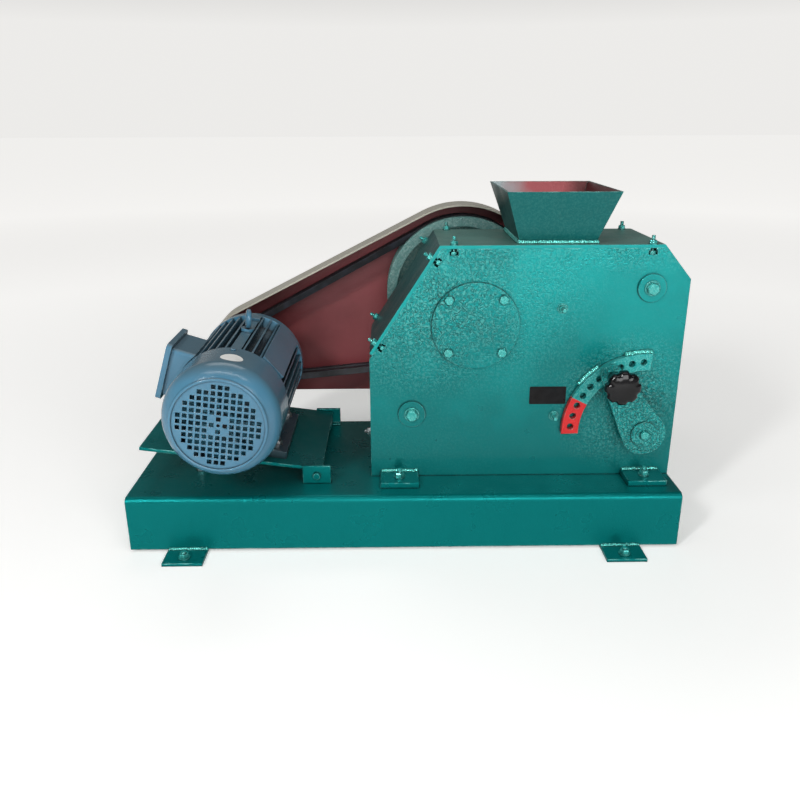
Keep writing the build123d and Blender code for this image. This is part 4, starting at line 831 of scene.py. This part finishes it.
def fastener_size(flats, height, washer=None, stud=None):
    """Give a fastener's inputs: flats and height, then radius and length of washer and stud."""
    radius, thickness = washer or (0.004, 0.001)
    stud_radius, length = stud or (0.003, 0.002)
    return {"Across Flats": flats, "Height": height, "Washer": washer is not None,
            "Washer Radius": radius, "Washer Thickness": thickness, "Stud": stud is not None,
            "Stud Radius": stud_radius, "Stud Length": length, "Pitch": 0.00125}


FRONT = Vector((0, -1, 0))
REAR = Vector((0, 1, 0))
UP = Vector((0, 0, 1))


def both_faces(x, z, front_y, rear_y):
    """Give the same place on the front and on the rear, each looking outwards."""
    return [(Vector((x, front_y, z)), FRONT), (Vector((x, rear_y, z)), REAR)]


# %% [markdown]
# The bolts of the body: four on each bearing cover, one through each bar's washer, one on
# the lever's pivot, and a stud with a nut that holds each cheek plate.

# %% Bolts through the side plates
COVER_BOLT_SPACING = 0.0811
CHEEK_NUT_PLACES = ((0.2377, 0.365), (0.235, 0.194))
HEAD_M8 = fastener_size(0.013, 0.0053)
HEAD_M10 = fastener_size(0.017, 0.0064, washer=(0.0115, 0.0015))
CHEEK_NUT = fastener_size(0.0105, 0.0052, washer=(0.0078, 0.0010), stud=(0.0032, 0.0105))

cover_front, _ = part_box("bearing_cover_front")
_, cover_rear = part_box("bearing_cover_rear")
shaft = middle_of("bearing_cover_front")
cover_places = []
for side_x in (-1, 1):
    for side_z in (-1, 1):
        cover_places += both_faces(shaft.x + side_x * COVER_BOLT_SPACING / 2,
                                   shaft.z + side_z * COVER_BOLT_SPACING / 2,
                                   cover_front.y, cover_rear.y)
bolts("bearing_cover_bolts", cover_places, HEAD_M8)

washers_low, washers_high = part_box("bar_washers")
bar_places = []
for bar in ("hanger_bar", "toggle_bar"):
    centre = middle_of(bar)
    bar_places += both_faces(centre.x, centre.z, washers_low.y, washers_high.y)
bolts("bar_bolts", bar_places, HEAD_M10)

arm_washer_low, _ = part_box("arm_washer")
_, lever_shaft_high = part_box("lever_shaft")
bolts("lever_bolts", both_faces(pivot.x, pivot.z, arm_washer_low.y, lever_shaft_high.y),
      HEAD_M8, body="adjusting_lever")

plate_front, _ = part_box("side_plate_front")
_, plate_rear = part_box("side_plate_rear")
cheek_places = []
for x, z in CHEEK_NUT_PLACES:
    cheek_places += both_faces(x, z, plate_front.y, plate_rear.y)
bolts("cheek_plate_nuts", cheek_places, CHEEK_NUT)

# %% [markdown]
# The folded cover is held down by studs that stand on the rims of the side plates, two on
# the top and two on the slant of each. A second nut on each stud shows in the T-shaped
# pocket below.

# %% Cover studs and a plug in the end wall
TOP_STUD_X = (0.074, 0.365)
SLANT_FOOT = Vector((-0.052, 0.0, 0.297))
SLANT_RUN = Vector((0.105, 0.0, 0.162))
SLANT_STUD_SHARES = (0.09, 0.886)
PLATE_THICKNESS = 0.012
COVER_SHEET = 0.005
POCKET_DEPTH = 0.0094
WALL_PLUG = Vector((-0.052, -0.060, 0.159))
NUT_M6 = fastener_size(0.010, 0.0050, washer=(0.0063, 0.0012), stud=(0.0030, 0.0065))
POCKET_NUT = fastener_size(0.0105, 0.0052, stud=(0.0030, 0.0120))
PLUG_HEAD = fastener_size(0.011, 0.006, stud=(0.003, 0.004))

_, cover_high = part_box("cover_plate")
slant_normal = Vector((-SLANT_RUN.z, 0, SLANT_RUN.x)).normalized()
stud_places = []
for y in (plate_front.y + PLATE_THICKNESS / 2, plate_rear.y - PLATE_THICKNESS / 2):
    stud_places += [(Vector((x, y, cover_high.z)), UP) for x in TOP_STUD_X]
    for share in SLANT_STUD_SHARES:
        foot = SLANT_FOOT + share * SLANT_RUN
        stud_places.append((Vector((foot.x, y, foot.z)), slant_normal))
pocket_places = [(point - direction * (COVER_SHEET + POCKET_DEPTH), direction)
                 for point, direction in stud_places]
bolts("cover_studs", stud_places, NUT_M6)
bolts("pocket_nuts", pocket_places, POCKET_NUT)
bolts("wall_plug", [(WALL_PLUG, Vector((-1, 0, 0)))], PLUG_HEAD, finish="turned_steel")

# %% [markdown]
# The bolts that hold the body to the base and the base to the floor stand in the middle
# of their tabs and feet. The frame's boxes give the outer corners, and the tab's own size
# gives the rest.

# %% Bolts on tabs and feet
TAB_HOLE = (0.030, 0.0225)
FOOT_HOLE = (0.0305, 0.017)
NUT_M8 = fastener_size(0.013, 0.0065, washer=(0.0085, 0.0016), stud=(0.0040, 0.0060))
FOOT_NUT = fastener_size(0.013, 0.0065, washer=(0.0090, 0.0016), stud=(0.0040, 0.0030))


def corner_places(node, inset):
    """Give the holes of four like plates, a given way in from the corners of a node's box."""
    low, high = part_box(node)
    return [(Vector((x, y, high.z)), UP) for x in (low.x + inset[0], high.x - inset[0])
            for y in (low.y + inset[1], high.y - inset[1])]


tab_places = corner_places("hold_down_tabs", TAB_HOLE)
foot_places = corner_places("mounting_feet", FOOT_HOLE)
bolts("hold_down_bolts", tab_places, NUT_M8)
bolts("foot_bolts", foot_places, FOOT_NUT)

# %% [markdown]
# The motor's own screws are placed in the frame of its tilted plate: along the plate,
# across it, and up from it. One small function turns such a point into the part's axes.

# %% Screws on the motor
PLATE_TILT = radians(7.8)
HINGE = Vector((-0.137, 0.0, 0.106))
MOTOR_ALONG = -0.1423
PLATE_TOP = 0.0108
MOTOR_HEIGHT = 0.090
MOTOR_FOOT_THICKNESS = 0.011
MOTOR_BOLT_ALONG = 0.072
MOTOR_BOLT_ACROSS = (-0.061, 0.064)
COWL_RADIUS = 0.0868
COWL_SCREW_SINK = 0.0003
COWL_SCREW_ACROSS = -0.112
SHIELD_REAR = 0.118
SHIELD_SCREW_RADIUS = 0.072
COWL_SCREW = fastener_size(0.007, 0.0028)
SHIELD_SCREW = fastener_size(0.010, 0.0042)
plate_turn = Matrix.Rotation(PLATE_TILT, 3, "Y")


def on_plate(along, across, up):
    """Turn a point of the tilted motor plate into the part's axes."""
    return HINGE + plate_turn @ Vector((along, across, up))


def round_motor(radius, angle, across):
    """Give a point at a radius and an angle round the motor's axis."""
    return on_plate(
        MOTOR_ALONG + radius * cos(angle), across, PLATE_TOP + MOTOR_HEIGHT + radius * sin(angle))


motor_nut_places = []
for side in (-1, 1):
    for across in MOTOR_BOLT_ACROSS:
        seat = on_plate(MOTOR_ALONG + side * MOTOR_BOLT_ALONG, across, PLATE_TOP + MOTOR_FOOT_THICKNESS)
        motor_nut_places.append((seat, plate_turn @ UP))
bolts("motor_foot_nuts", motor_nut_places, NUT_M8, finish="turned_steel")

cowl_places = []
for turned in (radians(90), radians(210), radians(330)):
    point = round_motor(COWL_RADIUS - COWL_SCREW_SINK, turned, COWL_SCREW_ACROSS)
    cowl_places.append((point, plate_turn @ Vector((cos(turned), 0, sin(turned)))))
bolts("cowl_screws", cowl_places, COWL_SCREW, finish="motor_paint")

shield_places = [(round_motor(SHIELD_SCREW_RADIUS, radians(angle), SHIELD_REAR), REAR)
                 for angle in (45, 135, 225, 315)]
bolts("end_shield_bolts", shield_places, SHIELD_SCREW, finish="motor_paint")

# %% [markdown]
# A weld bead is a row of small overlapping pools of metal. The second tree walks along
# the edges it is given, drops a flattened ball at each step, and varies the balls a
# little, which gives the rippled look that paint doesn't hide.

# %% The weld tree
POOL_LEAST = (0.70, 0.78, 0.55)
POOL_MOST = (1.15, 1.18, 0.80)

tree, given = new_geometry_tree("weld beads", ("Bead Radius", "Step"))
seam = add_node(tree, "GeometryNodeMeshToCurve", {"Mesh": given["Geometry"]})
walk = add_node(tree, "GeometryNodeCurveToPoints",
                {"Curve": seam.outputs[0], "Length": given["Step"]}, mode="LENGTH").outputs
ball = add_node(tree, "GeometryNodeMeshIcoSphere", {"Radius": 1.0, "Subdivisions": 2})
spread = random_between(tree, POOL_LEAST, POOL_MOST, 3, "FLOAT_VECTOR")
pool_size = add_node(
    tree, "ShaderNodeVectorMath", {0: spread, "Scale": given["Bead Radius"]}, operation="SCALE")
pools = add_node(tree, "GeometryNodeInstanceOnPoints",
                 {"Points": walk["Points"], "Instance": ball.outputs["Mesh"],
                  "Rotation": walk["Rotation"], "Scale": pool_size.outputs[0]})
smooth = add_node(tree, "GeometryNodeRealizeInstances", {0: pools.outputs[0]})
smooth = add_node(tree, "GeometryNodeSetShadeSmooth", {0: smooth.outputs[0]})
weld_beads = end_tree(tree, given, smooth.outputs[0])


def weld(name, seams, radius, step):
    """Lay weld beads along a list of seams, each a list of points."""
    points = []
    edges = []
    for seam_points in seams:
        start = len(points)
        points += [tuple(point) for point in seam_points]
        edges += [(start + i, start + i + 1) for i in range(len(seam_points) - 1)]
    mesh = bpy.data.meshes.new(name)
    mesh.from_pydata(points, edges, [])
    values = {"Bead Radius": radius, "Step": step, "Material": finishes["weld_paint"]}
    bake_tree(name, mesh, weld_beads, values, "machine")


# %% [markdown]
# Where the welder went: round the hopper's foot, along the tabs and feet, and on two
# short runs of the quadrant's outer edge.

# %% Weld seams
HOPPER_FOOT = (0.112, 0.142)
HOPPER_GAP = 0.001
HOPPER_BEAD_UP = 0.0012
TAB_SEAM_HALF = 0.027
FOOT_SEAM_HALF = 0.028
QUADRANT_EDGE = 0.1255
QUADRANT_RUNS = ((87.5, 104.6), (126.3, 142.7))
BEAD_OUT = 0.001
RUN_STEPS = 8


def root_seams(places, half, front_y, rear_y):
    """Give a seam at the root of each of four plates, along the face that it sits on."""
    seams = []
    for point, _ in places:
        y = front_y if point.y < 0 else rear_y
        seams.append([Vector((point.x - half, y, point.z)), Vector((point.x + half, y, point.z))])
    return seams


hopper_low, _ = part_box("hopper")
hopper_x = middle_of("hopper").x
foot_ring = [Vector((hopper_x + side_x * (HOPPER_FOOT[0] / 2 + HOPPER_GAP),
                     side_y * (HOPPER_FOOT[1] / 2 + HOPPER_GAP), hopper_low.z + HOPPER_BEAD_UP))
             for side_x, side_y in ((-1, -1), (1, -1), (1, 1), (-1, 1), (-1, -1))]
weld("hopper_weld", [foot_ring], radius=0.0046, step=0.0027)

weld("tab_welds", root_seams(tab_places, TAB_SEAM_HALF, plate_front.y, plate_rear.y),
     radius=0.0042, step=0.0028)
base_low, base_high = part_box("base_frame")
weld("foot_welds", root_seams(foot_places, FOOT_SEAM_HALF, base_low.y, base_high.y),
     radius=0.0040, step=0.0028)

quadrant_seams = []
for start, end in QUADRANT_RUNS:
    turns_along = [radians(start + (end - start) * step / RUN_STEPS) for step in range(RUN_STEPS + 1)]
    quadrant_seams.append([Vector((pivot.x + QUADRANT_EDGE * cos(angle), plate_front.y - BEAD_OUT,
                                   pivot.z + QUADRANT_EDGE * sin(angle))) for angle in turns_along])
weld("quadrant_welds", quadrant_seams, radius=0.0050, step=0.0027)

# %% [markdown]
# The labels and the knob are closed skins: rings of points one after another, with a tip
# that closes each end. One function builds such a skin, and each piece only works out
# its rings.


# %% A closed skin from rings
def closed_skin(name, rings, tips, finish, body="machine", smooth=False):
    """Make a closed piece from rings of points, with a tip for the first and the last."""
    work = bmesh.new()
    loops = [[work.verts.new(point) for point in ring] for ring in rings]
    for inner, outer in zip(loops, loops[1:]):
        for step in range(len(inner)):
            work.faces.new((inner[step - 1], inner[step], outer[step], outer[step - 1]))
    for loop, tip in ((loops[0], tips[0]), (loops[-1], tips[1])):
        end = work.verts.new(tip)
        for step in range(len(loop)):
            work.faces.new((end, loop[step - 1], loop[step]))
    bmesh.ops.recalc_face_normals(work, faces=work.faces[:])
    for face in work.faces:
        face.smooth = smooth
    mesh = bpy.data.meshes.new(name)
    work.to_mesh(mesh)
    work.free()
    mesh.materials.append(finishes[finish])
    piece = link_object(name, mesh)
    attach(piece, body)
    print(name, "rings:", len(rings))
    return piece


# %% [markdown]
# Two places carry stickers: a black plate beside the quadrant and a white oval on the
# fan cowl. Both stay blank. The oval follows the round cowl, so its points are worked out
# from an angle and a distance along the axis.

# %% Blank labels
LABEL_X = (0.1954, 0.2516)
LABEL_Z = (0.2135, 0.2418)
LABEL_THICKNESS = 0.0008
LABEL_CORNER = 0.0015
CORNER_STEPS = 4
OVAL_ANGLE = radians(87)
OVAL_ACROSS = -0.148
OVAL_HALF_WIDTH = 0.0165
OVAL_HALF_LENGTH = 0.0150
OVAL_STEPS = 48
OVAL_OUT = COWL_RADIUS + 0.0002
OVAL_IN = COWL_RADIUS - 0.0004
OVAL_SHARES = (0.33, 0.67, 1.0)


def label_ring(y):
    """Give a rectangle with round corners at a depth."""
    ring = []
    corners = ((1, 1, 0), (0, 1, 90), (0, 0, 180), (1, 0, 270))
    for at_x, at_z, start in corners:
        x = LABEL_X[at_x] + (LABEL_CORNER if at_x == 0 else -LABEL_CORNER)
        z = LABEL_Z[at_z] + (LABEL_CORNER if at_z == 0 else -LABEL_CORNER)
        for step in range(CORNER_STEPS + 1):
            angle = radians(start + 90 * step / CORNER_STEPS)
            ring.append((x + LABEL_CORNER * cos(angle), y, z + LABEL_CORNER * sin(angle)))
    return ring


def oval_ring(radius, share):
    """Give an oval on the round cowl, at a share of its full size."""
    ring = []
    for step in range(OVAL_STEPS):
        turn = 2 * pi * step / OVAL_STEPS
        angle = OVAL_ANGLE + share * OVAL_HALF_WIDTH * cos(turn) / COWL_RADIUS
        ring.append(round_motor(radius, angle, OVAL_ACROSS + share * OVAL_HALF_LENGTH * sin(turn)))
    return ring


label_depths = (plate_front.y - LABEL_THICKNESS, plate_front.y)
closed_skin("black_label", [label_ring(y) for y in label_depths],
            [(sum(LABEL_X) / 2, y, sum(LABEL_Z) / 2) for y in label_depths], "label_black")
oval_rings = [oval_ring(OVAL_OUT, share) for share in OVAL_SHARES]
oval_rings += [oval_ring(OVAL_IN, share) for share in reversed(OVAL_SHARES)]
closed_skin("oval_label", oval_rings,
            [round_motor(radius, OVAL_ANGLE, OVAL_ACROSS) for radius in (OVAL_OUT, OVAL_IN)],
            "label_white")

# %% [markdown]
# The frame's star knob is flat in front. The moulded one bulges, and its lobes are round
# in every direction. It is made as rings round its axis. Each ring has a radius, a place
# along the axis, and a share that says how far it follows the star's outline.

# %% The domed star knob
KNOB_RADIUS = 0.0262
KNOB_LOBES = 8
SCOOP_RADIUS = 0.0060
SCOOP_OUT = 0.0295
KNOB_STEPS = 160
KNOB_HEAD = ((0.15, 0.0000, 0.0), (0.30, 0.0003, 0.0), (0.45, 0.0008, 0.1), (0.60, 0.0015, 0.3),
             (0.74, 0.0025, 0.6), (0.86, 0.0039, 0.85), (0.94, 0.0056, 1.0), (0.985, 0.0080, 1.0),
             (1.00, 0.0106, 1.0), (1.00, 0.0140, 1.0), (0.96, 0.0162, 1.0), (0.88, 0.0175, 1.0),
             (0.44, 0.0180, 0.0))
KNOB_TIP_OUT = 0.0002
HUB_SHARE = 0.42
HUB_STARTS = 0.0186
HUB_CHAMFER = 0.0003
PIN_SHARE = 0.0042 / KNOB_RADIUS
PIN_LENGTH = 0.0220


def star_radius(angle):
    """Give the knob's outline at an angle: a circle with a round scoop between lobes."""
    pitch = 2 * pi / KNOB_LOBES
    off = (angle % pitch) - pitch / 2
    reach = SCOOP_RADIUS ** 2 - (SCOOP_OUT * sin(off)) ** 2
    if reach <= 0:
        return KNOB_RADIUS
    return min(KNOB_RADIUS, SCOOP_OUT * cos(off) - sqrt(reach))


def knob_ring(share, y, follow):
    """Give a ring of the knob that follows the star's outline by a share."""
    ring = []
    for step in range(KNOB_STEPS):
        angle = 2 * pi * step / KNOB_STEPS
        reach = share * (follow * star_radius(angle) + (1 - follow) * KNOB_RADIUS)
        ring.append((knob_middle.x + reach * cos(angle), y, knob_middle.z + reach * sin(angle)))
    return ring


knob_low, knob_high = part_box("index_knob")
knob_middle = middle_of("index_knob")
knob_length = knob_high.y - knob_low.y
hub_end = knob_length - PIN_LENGTH
stations = (*KNOB_HEAD, (HUB_SHARE, HUB_STARTS, 0.0), (HUB_SHARE, hub_end, 0.0),
            (PIN_SHARE, hub_end + HUB_CHAMFER, 0.0), (PIN_SHARE, knob_length, 0.0))
knob = closed_skin("domed_star_knob",
                   [knob_ring(share, knob_low.y + depth, follow) for share, depth, follow in stations],
                   [(knob_middle.x, y, knob_middle.z) for y in (knob_low.y - KNOB_TIP_OUT, knob_high.y)],
                   "knob_plastic", body="index_knob", smooth=True)
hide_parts("index_knob")

# %% [markdown]
# A plain pale floor runs out to the horizon. It glows a little, and more where it is far
# away, so that it stays as pale as the background of a catalogue picture. A share of that
# glow is kept from the machine, or its paint would look flat.

# %% Floor
FLOOR_SIZE = 60.0
FLOOR_WHITE = (0.86, 0.86, 0.85, 1)
STUDIO_WHITE = (0.98, 0.97, 0.95, 1)
NEAR_GLOW = (0.6, 2.2, 0.30, 0.62)
FAR_GLOW = (2.2, 5.0, 0.0, 0.22)
UNSEEN_SHARE = 0.45


def dimmer_unseen(tree, value):
    """Lower a light's strength where the camera doesn't see it directly."""
    seen = add_node(tree, "ShaderNodeLightPath").outputs["Is Camera Ray"]
    return times(tree, value, ramp_between(tree, seen, 0.0, 1.0, UNSEEN_SHARE, 1.0))


bpy.ops.mesh.primitive_grid_add(x_subdivisions=2, y_subdivisions=2, size=FLOOR_SIZE)
floor = bpy.context.object
floor.name = "floor"
floor_material = bpy.data.materials.new("pale_floor")
floor_material.use_nodes = True
floor_tree = floor_material.node_tree
floor_sockets = floor_tree.nodes["Principled BSDF"].inputs
for label, value in (("Base Color", FLOOR_WHITE), ("Roughness", 1.0), ("Specular IOR Level", 0.0),
                     ("Emission Color", STUDIO_WHITE)):
    floor_sockets[label].default_value = value
away = add_node(floor_tree, "ShaderNodeVectorMath", {0: place_on(floor_tree)},
                operation="LENGTH").outputs["Value"]
glow = calculate(floor_tree, "ADD", ramp_between(floor_tree, away, *NEAR_GLOW),
                 ramp_between(floor_tree, away, *FAR_GLOW))
floor_tree.links.new(dimmer_unseen(floor_tree, glow), floor_sockets["Emission Strength"])
floor.data.materials.append(floor_material)
print("floor is", FLOOR_SIZE, "metres wide")

# %% [markdown]
# The sky is bright at the horizon and dim overhead. Upright plates then take most of the
# light, as in a hall with open doors. A large soft panel stands behind the camera. A narrow
# one overhead and a small one at the upper left draw highlights along bends and on the
# motor's cowl, and a last one lights the back.

# %% Lamps and sky
HORIZON_STRENGTH = 0.86
ZENITH_SHARE = 0.10
SKY_FADE = (0.10, 0.35)


def area_light(name, place, target, size, power):
    """Hang a panel of light, as wide and high as size says, that looks at a target."""
    data = bpy.data.lights.new(name, "AREA")
    data.shape = "RECTANGLE"
    data.size, data.size_y = size
    data.energy = power
    lamp = bpy.data.objects.new(name, data)
    lamp.location = place
    lamp.rotation_mode = "QUATERNION"
    lamp.rotation_quaternion = (Vector(target) - Vector(place)).to_track_quat("-Z", "Y")
    bpy.context.scene.collection.objects.link(lamp)


area_light("key", (0.9, -3.2, 1.5), (0.05, 0.0, 0.25), (2.6, 1.6), 72.0)
area_light("overhead", (0.0, -0.75, 2.3), (0.0, -0.1, 0.2), (2.6, 0.16), 12.0)
area_light("upper_left", (-1.5, -2.2, 1.9), (-0.1, -0.1, 0.25), (0.30, 0.6), 38.0)
area_light("rear", (-0.3, 1.7, 2.6), (0.0, 0.0, 0.3), (2.2, 1.0), 14.0)

world = bpy.data.worlds.new("studio")
world.use_nodes = True
sky = world.node_tree
direction = add_node(sky, "ShaderNodeTexCoord").outputs["Generated"]
fade = ramp_between(sky, parts_of(sky, direction)["Z"], *SKY_FADE, 1.0, ZENITH_SHARE)
fade = times(sky, dimmer_unseen(sky, fade), HORIZON_STRENGTH)
background = sky.nodes["Background"]
background.inputs["Color"].default_value = STUDIO_WHITE
sky.links.new(fade, background.inputs["Strength"])
bpy.context.scene.world = world
bpy.context.scene.view_settings.view_transform = "Standard"
print("lights:", len(bpy.data.lights))
